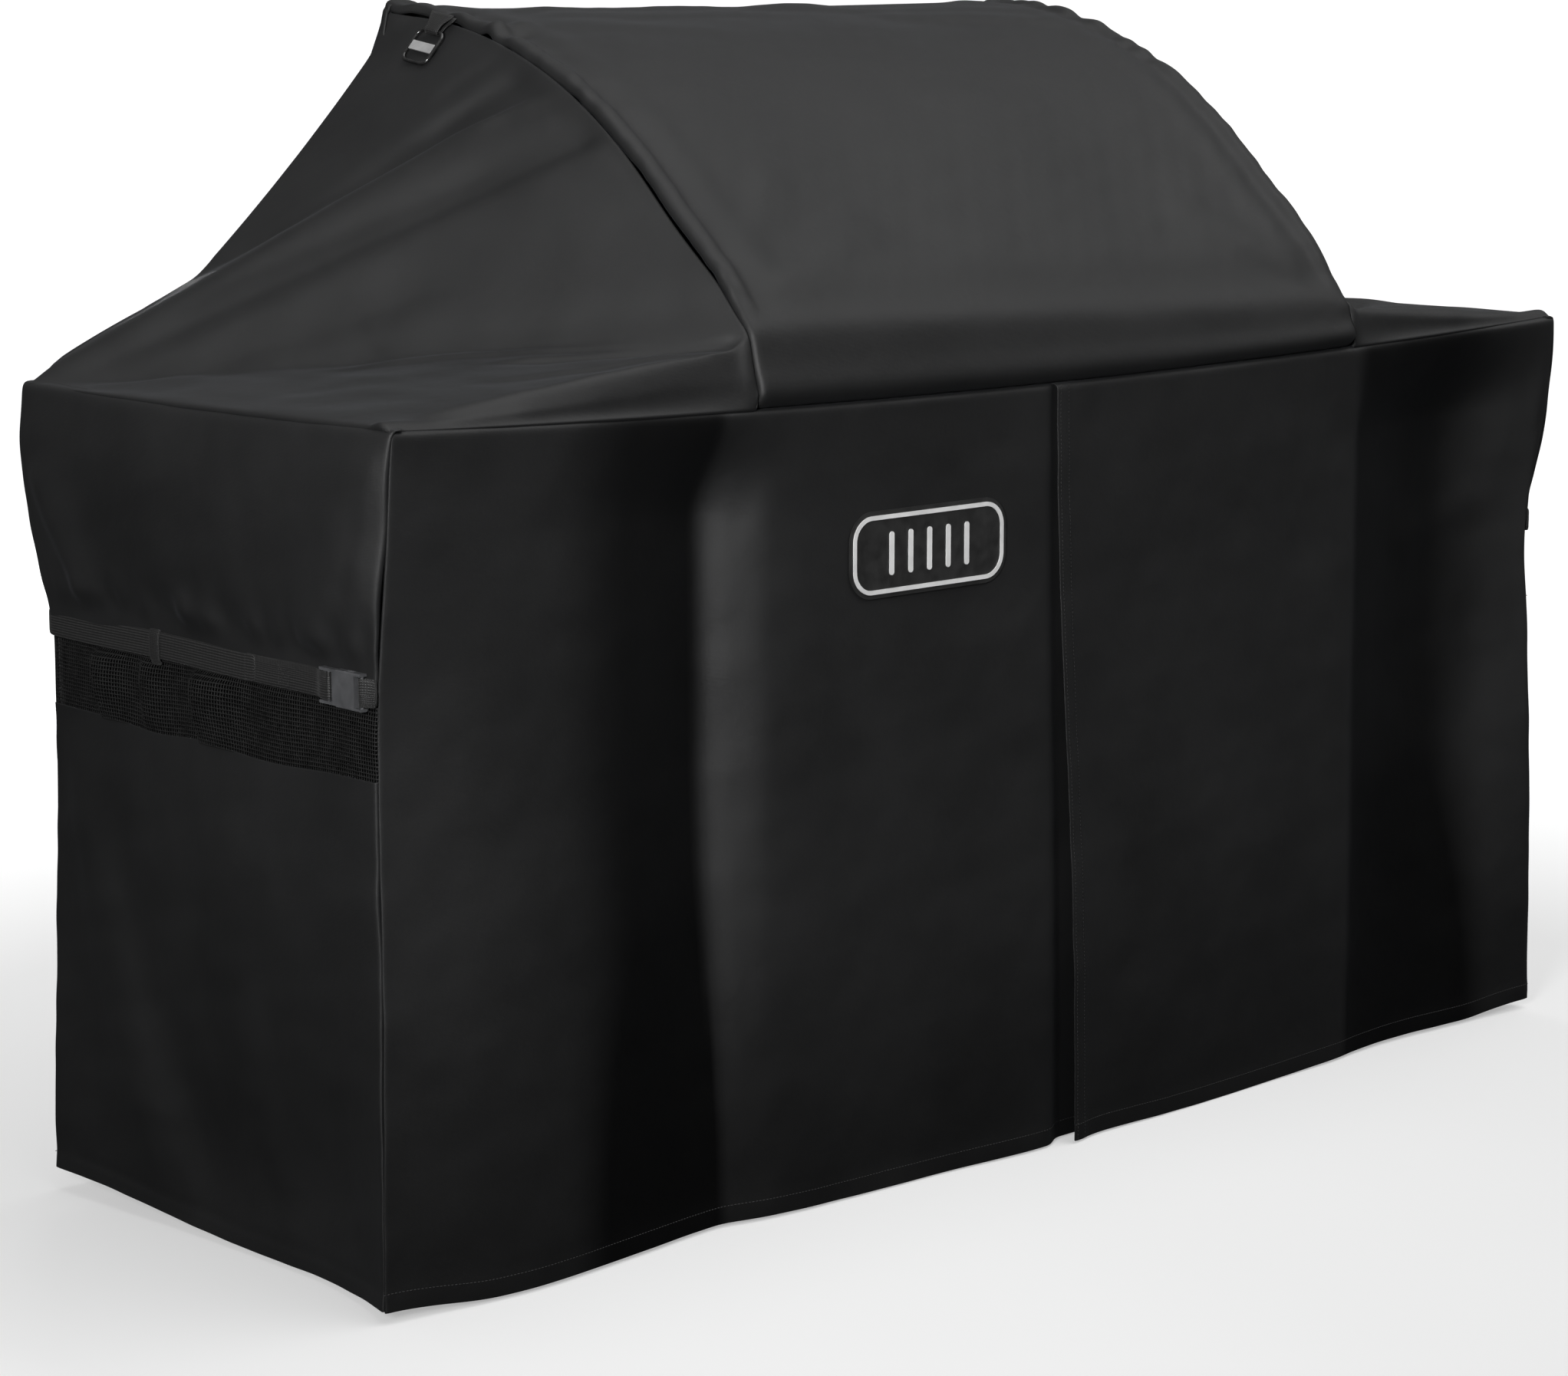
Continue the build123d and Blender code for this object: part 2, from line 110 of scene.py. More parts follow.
# Places of the corner seams: height, inwards along X, inwards along Y
FRONT_CORNER = {
    LEFT: ((0.0, -0.014, 0.008), (0.33, -0.006, 0.009), (0.52, -0.003, 0.012),
           (0.673, 0.0, 0.014), (0.83, 0.002, -0.001), (0.945, 0.004, -0.012)),
    RIGHT: ((0.0, -0.018, 0.000), (0.33, -0.011, 0.002), (0.52, -0.004, 0.008),
            (0.673, 0.0, 0.012), (0.83, -0.020, 0.000), (0.945, -0.016, -0.010)),
}
BACK_CORNER = {
    LEFT: ((0.0, -0.007, -0.004), (0.33, 0.0, 0.006), (0.58, 0.0, 0.016),
           (0.673, 0.0, 0.014), (0.80, -0.014, -0.002), (0.89, -0.020, -0.008),
           (0.945, -0.015, -0.007)),
    RIGHT: ((0.0, -0.010, -0.004), (0.33, 0.0, 0.006), (0.58, 0.0, 0.016),
            (0.673, 0.0, 0.014), (0.80, -0.008, -0.002), (0.945, -0.012, -0.006)),
}

# Folds of the cloth stretched over a shelf, from the hood seam outwards and back.  Start and end
# as (outwards from the hood, Y), height, and width behind and in front of the crest.
TENT_FOLDS = (
    ((-0.130, -0.028), (0.345, 0.345), 0.0060, 0.016, 0.045),
    ((-0.090, -0.070), (0.200, 0.225), 0.0060, 0.022, 0.010),
    ((-0.060, 0.000), (0.110, 0.165), 0.0035, 0.012, 0.008),
    ((-0.130, -0.160), (0.510, 0.305), 0.0095, 0.034, 0.0095),
    ((0.060, -0.010), (0.400, 0.260), 0.0035, 0.020, 0.012),
    ((0.150, -0.040), (0.520, 0.280), 0.0045, 0.034, 0.012),
    ((-0.050, 0.045), (0.070, 0.175), 0.0040, 0.009, 0.011),
    ((-0.050, -0.060), (0.080, 0.070), 0.0030, 0.013, 0.009),
    ((-0.060, -0.360), (0.250, -0.125), 0.0060, 0.007, 0.020),
    ((-0.050, -0.345), (0.330, -0.215), 0.0035, 0.009, 0.022),
    ((0.020, -0.290), (0.340, 0.050), -0.0045, 0.014, 0.009),
    ((0.150, -0.240), (0.500, -0.020), 0.0025, 0.034, 0.034),
)

# Faint pulls across the front, as (X, Z), then height and the width to either side
FRONT_FOLDS = (
    ((-0.93, 0.92), (-0.66, 0.32), 0.0040, 0.05, 0.09),
    ((0.92, 0.92), (0.80, 0.37), 0.0060, 0.05, 0.04),
    ((0.93, 0.72), (0.70, 0.64), 0.0040, 0.03, 0.03),
    ((-0.44, 0.91), (-0.30, 0.52), 0.0025, 0.03, 0.04),
    ((0.16, 0.91), (0.20, 0.27), 0.0022, 0.04, 0.06),
    ((0.34, 0.91), (0.40, 0.15), 0.0030, 0.05, 0.07),
)

# Pulls on an end above the strap and below the vent, and pleats of its net, as (Y, Z)
END_FOLDS_HIGH = (
    ((0.30, 0.87), (0.20, 0.68), 0.009, 0.020, 0.045),
    ((-0.315, 0.955), (-0.20, 0.685), 0.007, 0.050, 0.028),
    ((-0.33, 0.82), (-0.12, 0.665), 0.005, 0.040, 0.040),
    ((-0.322, 0.96), (-0.270, 0.69), 0.003, 0.012, 0.024),
)
END_FOLDS_LOW = (
    ((0.27, 0.585), (0.12, 0.02), 0.008, 0.040, 0.060),
    ((0.02, 0.60), (-0.10, 0.05), 0.006, 0.035, 0.055),
    ((0.20, 0.52), (0.02, 0.00), -0.006, 0.040, 0.040),
    ((-0.25, 0.52), (-0.12, 0.10), 0.004, 0.050, 0.050),
)
NET_PLEATS = (
    ((0.215, 0.685), (0.190, 0.54), 0.016, 0.007, 0.045),
    ((0.020, 0.685), (0.000, 0.54), 0.016, 0.007, 0.055),
    ((0.120, 0.685), (0.110, 0.56), 0.008, 0.009, 0.030),
    ((-0.120, 0.685), (-0.130, 0.56), 0.004, 0.030, 0.050),
)

# Share of a fold's length over which it rises, at each end
FOLD_TAPER = 0.22

# Slack folds beside the hood on the front: how deep, and where they run
FOLD_DEEP = 0.054
FOLD_LEFT = ((-0.955, 0.0), (-0.87, 0.02), (-0.76, 0.10), (-0.66, 0.28), (-0.56, 0.72), (-0.515, 0.93),
             (-0.494, 1.0), (-0.486, 0.97), (-0.455, 0.55), (-0.425, 0.20), (-0.39, 0.04), (-0.35, 0.0))
FOLD_RIGHT = ((0.545, 0.0), (0.580, 0.08), (0.600, 0.26), (0.66, 0.55), (0.75, 0.84), (0.83, 1.0),
              (0.875, 0.86), (0.925, 0.34), (0.955, 0.0))

# Placket
PLACKET_TOP, PLACKET_FOOT = 0.027, 0.047
PLACKET_LAP = 0.034
PLACKET_BAND = 0.020

# Webbing and stitching
WEB = 0.0016
WEB_WIDE = 0.030
BAR_RADIUS = 0.0020         # the buckle's bars, round which the webbing turns
STITCH_PITCH, STITCH_LONG, STITCH_WIDE = 0.0046, 0.0034, 0.0009
# Place along a stitch, width and height there, as shares
STITCH_SHAPE = ((-0.5, 0.25, -0.3), (-0.3, 1, 0.55), (0.3, 1, 0.55), (0.5, 0.25, -0.3))

# Camera, fitted to the photo: place, azimuth and elevation, and lens in millimetres
CAMERA_PLACE = (-3.379, -3.583, 1.4216)
CAMERA_ANGLES = (-42.377, 10.376)
CAMERA_LENS = 92.44

# Tab that holds a ring: where it is sewn in, before the ring's axis, and its widths
TAB_ROOT = -0.0245
TAB_WIDE, TAB_ROOT_WIDE, TAB_THICK = 0.0255, 0.042, 0.0014
RING_WIRE = 0.0045

# Threads of the cloth, and mesh of the vents
WEAVE_PITCH = 0.00105
MESH_PITCH = 0.0042
MESH_WIRE = 0.0011


# ------------------------------------------------------------------ small helpers
def smooth(t):
    t = np.clip(t, 0.0, 1.0)
    return t * t * (3.0 - 2.0 * t)


def ramp(x, start, end):
    """0 at start and 1 at end, easing at both."""
    return smooth((x - start) / (end - start))


def mix(a, b, t):
    return a + (b - a) * t


def through(x, knots, column=1):
    """Smooth curve through knots, read at x."""
    places = np.array([k[0] for k in knots])
    values = np.array([k[column] for k in knots])
    slopes = np.gradient(values, places)
    x = np.clip(x, places[0], places[-1])
    i = np.clip(np.searchsorted(places, x, side="right") - 1, 0, len(places) - 2)
    h = places[i + 1] - places[i]
    t = (x - places[i]) / h
    return (
        (2 * t**3 - 3 * t**2 + 1) * values[i]
        + (t**3 - 2 * t**2 + t) * h * slopes[i]
        + (3 * t**2 - 2 * t**3) * values[i + 1]
        + (t**3 - t**2) * h * slopes[i + 1]
    )


def waver(p, q, seed, wave, parts=9):
    """Soft deterministic unevenness, about -1 to 1, with waves of about the given length."""
    chance = np.random.default_rng(seed)
    total = 0.0
    for _ in range(parts):
        turn, phase = chance.uniform(0, 2 * np.pi, 2)
        length = wave * chance.uniform(0.6, 1.9)
        total = total + np.sin(2 * np.pi * (p * np.cos(turn) + q * np.sin(turn)) / length + phase)
    return total / math.sqrt(parts * 2)


def fold(p, q, start, end, height, ahead, behind):
    """A ridge along a line from start to end, with its own width either side of the line."""
    dp, dq = end[0] - start[0], end[1] - start[1]
    length = math.hypot(dp, dq)
    along = ((p - start[0]) * dp + (q - start[1]) * dq) / length**2
    off = ((p - start[0]) * -dq + (q - start[1]) * dp) / length
    wide = np.where(off > 0, ahead, behind)
    taper = smooth(along / FOLD_TAPER) * smooth((1 - along) / FOLD_TAPER)
    return height * np.exp(-((off / wide) ** 2)) * taper


def folds(p, q, table):
    """The sum of several folds, each given as the arguments of fold after p and q."""
    return sum(fold(p, q, *row) for row in table)


def stations(length, fine=FINE, coarse=COARSE, growth=1.28):
    """Places from 0 to length, close together at both ends and even in the middle."""
    half, step = [0.0], fine
    while half[-1] + step < length / 2:
        half.append(half[-1] + step)
        step = min(step * growth, coarse)
    if length - 2 * half[-1] < step / 2:
        half.pop()
    half = np.array(half)
    middle = length - 2 * half[-1]
    inner = np.linspace(half[-1], half[-1] + middle, max(2, round(middle / step) + 1))[1:-1]
    return np.concatenate([half, inner, length - half[::-1]])


def lengths(points, axis):
    """Distance along the grid lines of one axis."""
    steps = np.linalg.norm(np.diff(points, axis=axis), axis=2)
    total = np.cumsum(steps, axis=axis)
    pad = [(0, 0), (0, 0)]
    pad[axis] = (1, 0)
    return np.pad(total, pad)


def normals_of(points):
    """Unit normals of a grid whose first axis crosses its second to point outwards."""
    n = np.cross(np.gradient(points, axis=0), np.gradient(points, axis=1))
    return n / np.maximum(np.linalg.norm(n, axis=2, keepdims=True), 1e-12)


def tuck(points, sides, deep_round=SEAM_ROUND, allowance=ALLOWANCE):
    """Rolls the edges of a grid in to their seams, and turns a strip of cloth in behind.

    sides maps "start", "end" (first axis), "low", "high" (second axis) to a vector that leads
    from the flat edge to the seam.
    """
    moved = np.zeros_like(points)
    total = np.zeros(points.shape[:2])
    for side, vector in sides.items():
        axis = 0 if side in ("start", "end") else 1
        run = lengths(points, axis)
        if side in ("end", "high"):
            run = (run[-1:, :] if axis == 0 else run[:, -1:]) - run
        weight = 1 - np.sqrt(1 - (1 - np.clip(run / deep_round, 0, 1)) ** 2)
        moved += weight[..., None] * np.array(vector)
        total += weight
    points = points + moved / np.maximum(total, 1.0)[..., None]
    for side, vector in sides.items() if allowance else ():
        vector = np.array(vector, float)
        inwards = vector / np.linalg.norm(vector) * allowance
        if side == "start":
            points = np.concatenate([points[:1] + inwards, points], axis=0)
        if side == "end":
            points = np.concatenate([points, points[-1:] + inwards], axis=0)
        if side == "low":
            points = np.concatenate([points[:, :1] + inwards, points], axis=1)
        if side == "high":
            points = np.concatenate([points, points[:, -1:] + inwards], axis=1)
    return points


def relax(values, rounds):
    """Evens out a grid of numbers, with its rim held."""
    for _ in range(rounds):
        inner = values[1:-1, 1:-1]
        around = values[2:, 1:-1] + values[:-2, 1:-1] + values[1:-1, 2:] + values[1:-1, :-2]
        values[1:-1, 1:-1] = inner + 0.8 * (around / 4 - inner)
    return values


# ------------------------------------------------------------------ meshes
def new_object(name, points, faces, uv, material):
    mesh = bpy.data.meshes.new(name)
    mesh.from_pydata([tuple(p) for p in points], [], faces)
    layer = mesh.uv_layers.new(name="cloth")
    corner = np.zeros(len(mesh.loops), np.int32)
    mesh.loops.foreach_get("vertex_index", corner)
    layer.data.foreach_set("uv", np.asarray(uv, np.float32)[corner].ravel())
    mesh.polygons.foreach_set("use_smooth", [True] * len(mesh.polygons))
    mesh.update()
    made = bpy.data.objects.new(name, mesh)
    bpy.context.scene.collection.objects.link(made)
    made.data.materials.append(material)
    return made


def grid_faces(rows, columns, skip=None, offset=0):
    faces = []
    for i in range(rows - 1):
        for j in range(columns - 1):
            if skip is None or not skip(i, j):
                a = offset + i * columns + j
                faces.append((a, a + columns, a + columns + 1, a + 1))
    return faces


def grid_object(name, points, material, skip=None, mirrored=False):
    """A sheet from a grid of points, with UVs in metres for the weave."""
    rows, columns = points.shape[:2]
    uv = np.stack([lengths(points, 0), lengths(points, 1)], axis=2)
    faces = grid_faces(rows, columns, skip)
    if mirrored:
        faces = [face[::-1] for face in faces]
    return new_object(name, points.reshape(-1, 3), faces, uv.reshape(-1, 2), material)


def subdivide(piece):
    finer = piece.modifiers.new("finer", "SUBSURF")
    finer.levels = 1
    finer.render_levels = 1


def finish_cloth(piece, thickness=CLOTH, finer=True):
    """Subdivides a panel and gives it its thickness, inwards."""
    if finer:
        subdivide(piece)
    thick = piece.modifiers.new("thickness", "SOLIDIFY")
    thick.thickness = thickness
    thick.offset = -1
    return piece


def band(name, path, out, width, material, thickness=WEB, flare=None):
    """Webbing along a path. out is the direction of its face at each point of the path."""
    path, out = np.array(path, float), np.array(out, float)
    out /= np.linalg.norm(out, axis=1, keepdims=True)
    along = np.gradient(path, axis=0)
    along /= np.linalg.norm(along, axis=1, keepdims=True)
    across = np.cross(along, out)
    wide = np.full(len(path), width) if flare is None else np.array(flare)
    h, t = wide / 2, thickness / 2
    edge = thickness * 0.35
    crown = t * 1.06
    shape = [(-h, -t + edge), (-h, t - edge), (-h + edge, t), (-h * 0.34, crown), (h * 0.34, crown),
             (h - edge, t), (h, t - edge), (h, -t + edge), (h - edge, -t), (-h + edge, -t)]
    rings = [path + across * np.broadcast_to(a, len(path))[:, None] + out * b for a, b in shape]
    grid = np.stack(rings + rings[:1], axis=1)
    rows, columns = grid.shape[:2]
    run = lengths(grid, 0)[:, :1].repeat(columns, axis=1)
    girth = lengths(grid, 1)
    points = grid[:, :-1].reshape(-1, 3)
    count = columns - 1
    faces = []
    for i in range(rows - 1):
        for j in range(count):
            a, b = i * count + j, i * count + (j + 1) % count
            faces.append((a, b, b + count, a + count))
    faces.append(tuple(range(count))[::-1])
    faces.append(tuple(range((rows - 1) * count, rows * count)))
    uv = np.stack([run[:, :-1], girth[:, :-1]], axis=2).reshape(-1, 2)
    return new_object(name, points, faces, uv, material)


def run_along(points):
    """Distance from the start of a polyline, at each of its points."""
    return np.concatenate([[0], np.cumsum(np.linalg.norm(np.diff(points, axis=0), axis=1))])


def spaced(points, step):
    """A polyline read again at even steps."""
    points = np.array(points, float)
    run = run_along(points)
    places = np.linspace(0, run[-1], max(2, int(run[-1] / step) + 1))
    return np.stack([np.interp(places, run, points[:, k]) for k in range(3)], axis=1)


def stitching(name, lines, material):
    """Short raised stitches along lines of (points, outward directions)."""
    verts, faces = [], []
    for points, outward in lines:
        run = run_along(points)
        for place in np.arange(STITCH_PITCH / 2, run[-1] - STITCH_PITCH / 2, STITCH_PITCH):
            at = np.array([np.interp(place, run, points[:, k]) for k in range(3)])
            ahead = np.array([np.interp(place + 0.002, run, points[:, k]) for k in range(3)])
            up = np.array([np.interp(place, run, outward[:, k]) for k in range(3)])
            way = (ahead - at) / np.linalg.norm(ahead - at)
            up = up / np.linalg.norm(up)
            side = np.cross(way, up)
            first = len(verts)
            for share, swell, lift in STITCH_SHAPE:
                middle = at + way * STITCH_LONG * share
                for turn, rise in ((-0.5, 0), (0, 1), (0.5, 0)):
                    height = STITCH_WIDE * (lift * rise + 0.1)
                    verts.append(middle + side * STITCH_WIDE * turn * swell + up * height)
            for k in range(3):
                for j in range(2):
                    a = first + 3 * k + j
                    faces.append((a, a + 1, a + 4, a + 3))
    uv = np.zeros((len(verts), 2))
    made = new_object(name, np.array(verts), faces, uv, material)
    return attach(made, "cover")


# ------------------------------------------------------------------ materials
def node_material(name):
    material = bpy.data.materials.new(name)
    material.use_nodes = True
    tree = material.node_tree
    return material, tree, tree.nodes["Principled BSDF"]


def add(tree, kind, **settings):
    node = tree.nodes.new(kind)
    for key, value in settings.items():
        if key in node.inputs:
            node.inputs[key].default_value = value
        else:
            setattr(node, key, value)
    return node


def noise(tree, coordinates, scale, detail=3.0, rough=0.5):
    node = add(tree, "ShaderNodeTexNoise")
    node.inputs["Scale"].default_value = scale
    node.inputs["Detail"].default_value = detail
    node.inputs["Roughness"].default_value = rough
    tree.links.new(coordinates, node.inputs["Vector"])
    return node.outputs["Fac"]


def graded(tree, value, low, high, start=0.3, end=0.7):
    """Maps a value on to a range of greys or colours."""
    node = add(tree, "ShaderNodeValToRGB")
    node.color_ramp.elements[0].position = start
    node.color_ramp.elements[1].position = end
    node.color_ramp.elements[0].color = (*low, 1)
    node.color_ramp.elements[1].color = (*high, 1)
    tree.links.new(value, node.inputs["Fac"])
    return node.outputs["Color"]


def grey(value):
    return (value, value, value)


def threads(tree, uv, pitch, direction):
    """Rounded bands of one thread system, 0 to 1."""
    node = add(tree, "ShaderNodeTexWave", wave_type="BANDS", bands_direction=direction)
    node.inputs["Scale"].default_value = math.pi / (10 * pitch)
    node.inputs["Distortion"].default_value = 0.35
    node.inputs["Detail"].default_value = 1.0
    node.inputs["Detail Scale"].default_value = 1.5
    tree.links.new(uv, node.inputs["Vector"])
    return node.outputs["Fac"]


def join(tree, a, b, how="ADD", factor=1.0):
    node = add(tree, "ShaderNodeMath", operation=how)
    tree.links.new(a, node.inputs[0])
    if isinstance(b, float):
        node.inputs[1].default_value = b
    else:
        tree.links.new(b, node.inputs[1])
    if factor == 1.0:
        return node.outputs[0]
    scaled = add(tree, "ShaderNodeMath", operation="MULTIPLY")
    tree.links.new(node.outputs[0], scaled.inputs[0])
    scaled.inputs[1].default_value = factor
    return scaled.outputs[0]


def bump(tree, shader, height, distance, strength, before=None):
    node = add(tree, "ShaderNodeBump")
    node.inputs["Strength"].default_value = strength
    node.inputs["Distance"].default_value = distance
    tree.links.new(height, node.inputs["Height"])
    if before is not None:
        tree.links.new(before, node.inputs["Normal"])
    tree.links.new(node.outputs["Normal"], shader.inputs["Normal"])
    return node.outputs["Normal"]


def cloth_material(name, dark, light):
    """Coated woven polyester: plain weave, soft sheen and faint mottling."""
    material, tree, shader = node_material(name)
    uv = add(tree, "ShaderNodeUVMap", uv_map="cloth").outputs["UV"]
    place = add(tree, "ShaderNodeTexCoord").outputs["Object"]
    patches = noise(tree, place, 5.0, 4.0, 0.55)
    flecks = noise(tree, place, 520.0, 2.0, 0.7)
    both = join(tree, patches, join(tree, flecks, 0.9, "MULTIPLY"), "ADD", 0.53)
    # Painted shade: the slack attribute, set on the front panels, darkens the base colour and the
    # specular to 0.22 of their value in the fold recesses beside the hood and low down on the front.
    slack = add(tree, "ShaderNodeAttribute", attribute_name="slack").outputs["Fac"]
    painted_shade_factor = add(tree, "ShaderNodeMapRange")
    painted_shade_factor.inputs["To Min"].default_value = 1.0
    painted_shade_factor.inputs["To Max"].default_value = 0.22
    tree.links.new(slack, painted_shade_factor.inputs["Value"])
    painted_shade_colour = add(tree, "ShaderNodeVectorMath", operation="SCALE")
    tree.links.new(graded(tree, both, dark, light, 0.34, 0.72), painted_shade_colour.inputs[0])
    tree.links.new(painted_shade_factor.outputs[0], painted_shade_colour.inputs["Scale"])
    tree.links.new(painted_shade_colour.outputs[0], shader.inputs["Base Color"])
    tree.links.new(join(tree, painted_shade_factor.outputs[0], 0.38, "MULTIPLY"), shader.inputs["Specular IOR Level"])
    rough = graded(tree, patches, grey(0.52), grey(0.61))
    tree.links.new(rough, shader.inputs["Roughness"])
    shader.inputs["Sheen Weight"].default_value = 0.02
    shader.inputs["Sheen Roughness"].default_value = 0.35
    shader.inputs["Sheen Tint"].default_value = (0.85, 0.90, 1.0, 1)
    warp = threads(tree, uv, WEAVE_PITCH, "X")
    weft = threads(tree, uv, WEAVE_PITCH, "Y")
    weave = join(tree, warp, weft, "MAXIMUM")
    crumple = noise(tree, place, 38.0, 3.0, 0.5)
    soft = bump(tree, shader, crumple, 0.004, 0.16)
    bump(tree, shader, weave, 0.0003, 0.30, soft)
    return material


def webbing_material(name, dark, light):
    """Woven strap: ribs across it and cords along it."""
    material, tree, shader = node_material(name)
    uv = add(tree, "ShaderNodeUVMap", uv_map="cloth").outputs["UV"]
    place = add(tree, "ShaderNodeTexCoord").outputs["Object"]
    ribs = threads(tree, uv, 0.0019, "X")
    cords = threads(tree, uv, 0.0030, "Y")
    weave = join(tree, ribs, cords, "MULTIPLY")
    speckle = noise(tree, place, 600.0, 2.0, 0.6)
    tone = join(tree, weave, speckle, "ADD", 0.5)
    tree.links.new(graded(tree, tone, dark, light, 0.25, 0.75), shader.inputs["Base Color"])
    tree.links.new(graded(tree, speckle, grey(0.45), grey(0.62)), shader.inputs["Roughness"])
    shader.inputs["Sheen Weight"].default_value = 0.04
    shader.inputs["Sheen Roughness"].default_value = 0.4
    bump(tree, shader, weave, 0.0005, 0.8)
    return material


def plastic_material(name, dark, light, roughness, specular=0.5):
    """Moulded plastic with a fine grain and a faint cloudy variation in colour and roughness."""
    material, tree, shader = node_material(name)
    place = add(tree, "ShaderNodeTexCoord").outputs["Object"]
    grain = noise(tree, place, 900.0, 3.0, 0.6)
    wear = noise(tree, place, 60.0, 4.0, 0.6)
    tree.links.new(graded(tree, wear, dark, light), shader.inputs["Base Color"])
    rough = graded(tree, wear, grey(roughness - 0.07), grey(roughness + 0.09))
    tree.links.new(rough, shader.inputs["Roughness"])
    shader.inputs["Specular IOR Level"].default_value = specular
    bump(tree, shader, grain, 0.0001, 0.35)
    return material


def metal_material(name, dark, light, roughness, metallic):
    """Plated or painted metal with fine handling marks."""
    material, tree, shader = node_material(name)
    place = add(tree, "ShaderNodeTexCoord").outputs["Object"]
    marks = noise(tree, place, 500.0, 4.0, 0.65)
    cloud = noise(tree, place, 45.0, 3.0, 0.5)
    tree.links.new(graded(tree, cloud, dark, light), shader.inputs["Base Color"])
    rough = graded(tree, marks, grey(roughness - 0.06), grey(roughness + 0.10))
    tree.links.new(rough, shader.inputs["Roughness"])
    shader.inputs["Metallic"].default_value = metallic
    bump(tree, shader, marks, 0.00012, 0.25)
    return material


def floor_material():
    """Pale floor that brightens into the backdrop away from the object."""
    material, tree, shader = node_material("studio_floor")
    place = add(tree, "ShaderNodeTexCoord").outputs["Object"]
    cloud = noise(tree, place, 0.8, 2.0, 0.5)
    tree.links.new(graded(tree, cloud, grey(0.44), grey(0.47)), shader.inputs["Base Color"])
    shader.inputs["Roughness"].default_value = 0.9
    shader.inputs["Specular IOR Level"].default_value = 0.0
    distance = add(tree, "ShaderNodeVectorMath", operation="LENGTH")
    tree.links.new(place, distance.inputs[0])
    tenth = join(tree, distance.outputs["Value"], 0.1, "MULTIPLY")
    glow = graded(tree, tenth, grey(0.40), grey(0.75), 0.13, 0.24)
    tree.links.new(glow, shader.inputs["Emission Color"])
    shader.inputs["Emission Strength"].default_value = 1.0
    return material


def backdrop_material():
    """The lit wall behind the floor."""
    material, _, shader = node_material("studio_backdrop")
    shader.inputs["Base Color"].default_value = (0.5, 0.5, 0.5, 1)
    shader.inputs["Emission Color"].default_value = (1, 1, 1, 1)
    shader.inputs["Emission Strength"].default_value = 0.75
    return material


FABRIC = cloth_material("cover_cloth", (0.0060, 0.0061, 0.0063), (0.0118, 0.0120, 0.0124))
THREAD = webbing_material("thread", grey(0.020), grey(0.045))
VENT = plastic_material("vent_net", grey(0.007), grey(0.014), 0.62, 0.22)
WEBBING = webbing_material("strap_webbing", grey(0.006), grey(0.024))
BUCKLE = plastic_material("buckle_plastic", (0.050, 0.051, 0.054), (0.075, 0.076, 0.080), 0.38)
RING = metal_material("ring_metal", grey(0.05), grey(0.10), 0.24, 0.9)
LABEL = metal_material("label_face", grey(0.42), grey(0.60), 0.34, 0.5)
PLATE = plastic_material("badge_backing", grey(0.010), grey(0.018), 0.55)
SILVER = metal_material("badge_silver_face", grey(0.72), grey(0.86), 0.34, 0.2)


# ------------------------------------------------------------------ shared seams
def corner(knots, side, z):
    """How far a corner seam lies inwards, along X and along Y, at a height."""
    return through(z, knots[side], 1), through(z, knots[side], 2)


def front_seam_z(x):
    """Height of the seam between the front and what is above it."""
    sag = FRONT_SEAM_SAG * np.cos(np.pi / 2 * np.clip(x / END_X, -1, 1)) ** 0.8
    return SHELF_Z + SHELF_SEAM_UP - sag


def end_seam_z(y):
    """Height of the seam between an end and the cloth over its shelf."""
    return SHELF_Z + SHELF_SEAM_UP - 0.004 * np.sin(np.pi * (y - FRONT_Y) / DEPTH)


def rear_fold(side):
    """Place of the fold in the rear outline."""
    shelf = abs(side * END_X - HOOD_X[side])
    return HOOD_X[side] + side * shelf * FOLD_SHARE, SHELF_Z + FOLD_RISE


def rear_outline(side, count=40):
    """(x, z) down the rear edge of the tent, from the ridge to the shelf corner."""
    x1, z1 = rear_fold(side)
    x0 = HOOD_X[side]
    t = np.linspace(0, 1, count)
    sag = 4 * REAR_SAG * t * (1 - t)
    length = math.hypot(x1 - x0, z1 - RIDGE_Z)
    upper_x = mix(x0, x1, t) - side * sag * abs(z1 - RIDGE_Z) / length
    upper_z = mix(RIDGE_Z, z1, t) - sag * abs(x1 - x0) / length
    x2 = side * (END_X + 0.010)
    z2 = SHELF_Z + 0.012
    s = np.linspace(0, 1, count // 2)[1:]
    full = REAR_BULGE * np.sin(np.pi * np.clip((t - 0.12) / 0.88, 0, 1)) ** 0.7
    corner_out = CORNER_SPLAY[side] * (1 - smooth(t / 0.16))
    upper_x = upper_x + side * (full * abs(z1 - RIDGE_Z) / length + corner_out)
    upper_z = upper_z + full * abs(x1 - x0) / length
    upper_z = upper_z + (CORNER_LIFT * (1 - smooth(t / 0.16)) if side == LEFT else 0.0)
    lower_x = mix(x1, x2, s)
    rounded = 0.016 * ramp(s, 0.80, 1.0)
    lower_z = mix(z1, z2, s) + 0.005 * np.sin(np.pi * s) - rounded
    x, z = np.concatenate([upper_x, lower_x]), np.concatenate([upper_z, lower_z])
    z[1:-1] = (z[:-2] + 2 * z[1:-1] + z[2:]) / 4
    return x, z


def ridge_z(x):
    """Height of the ridge between the hood's two rear corners."""
    share = np.clip((x - HOOD_X[LEFT]) / (HOOD_X[RIGHT] - HOOD_X[LEFT]), 0, 1)
    return RIDGE_Z + CORNER_LIFT * (1 - ramp(share, 0.0, 0.12)) - RIDGE_SAG * np.sin(np.pi * share)


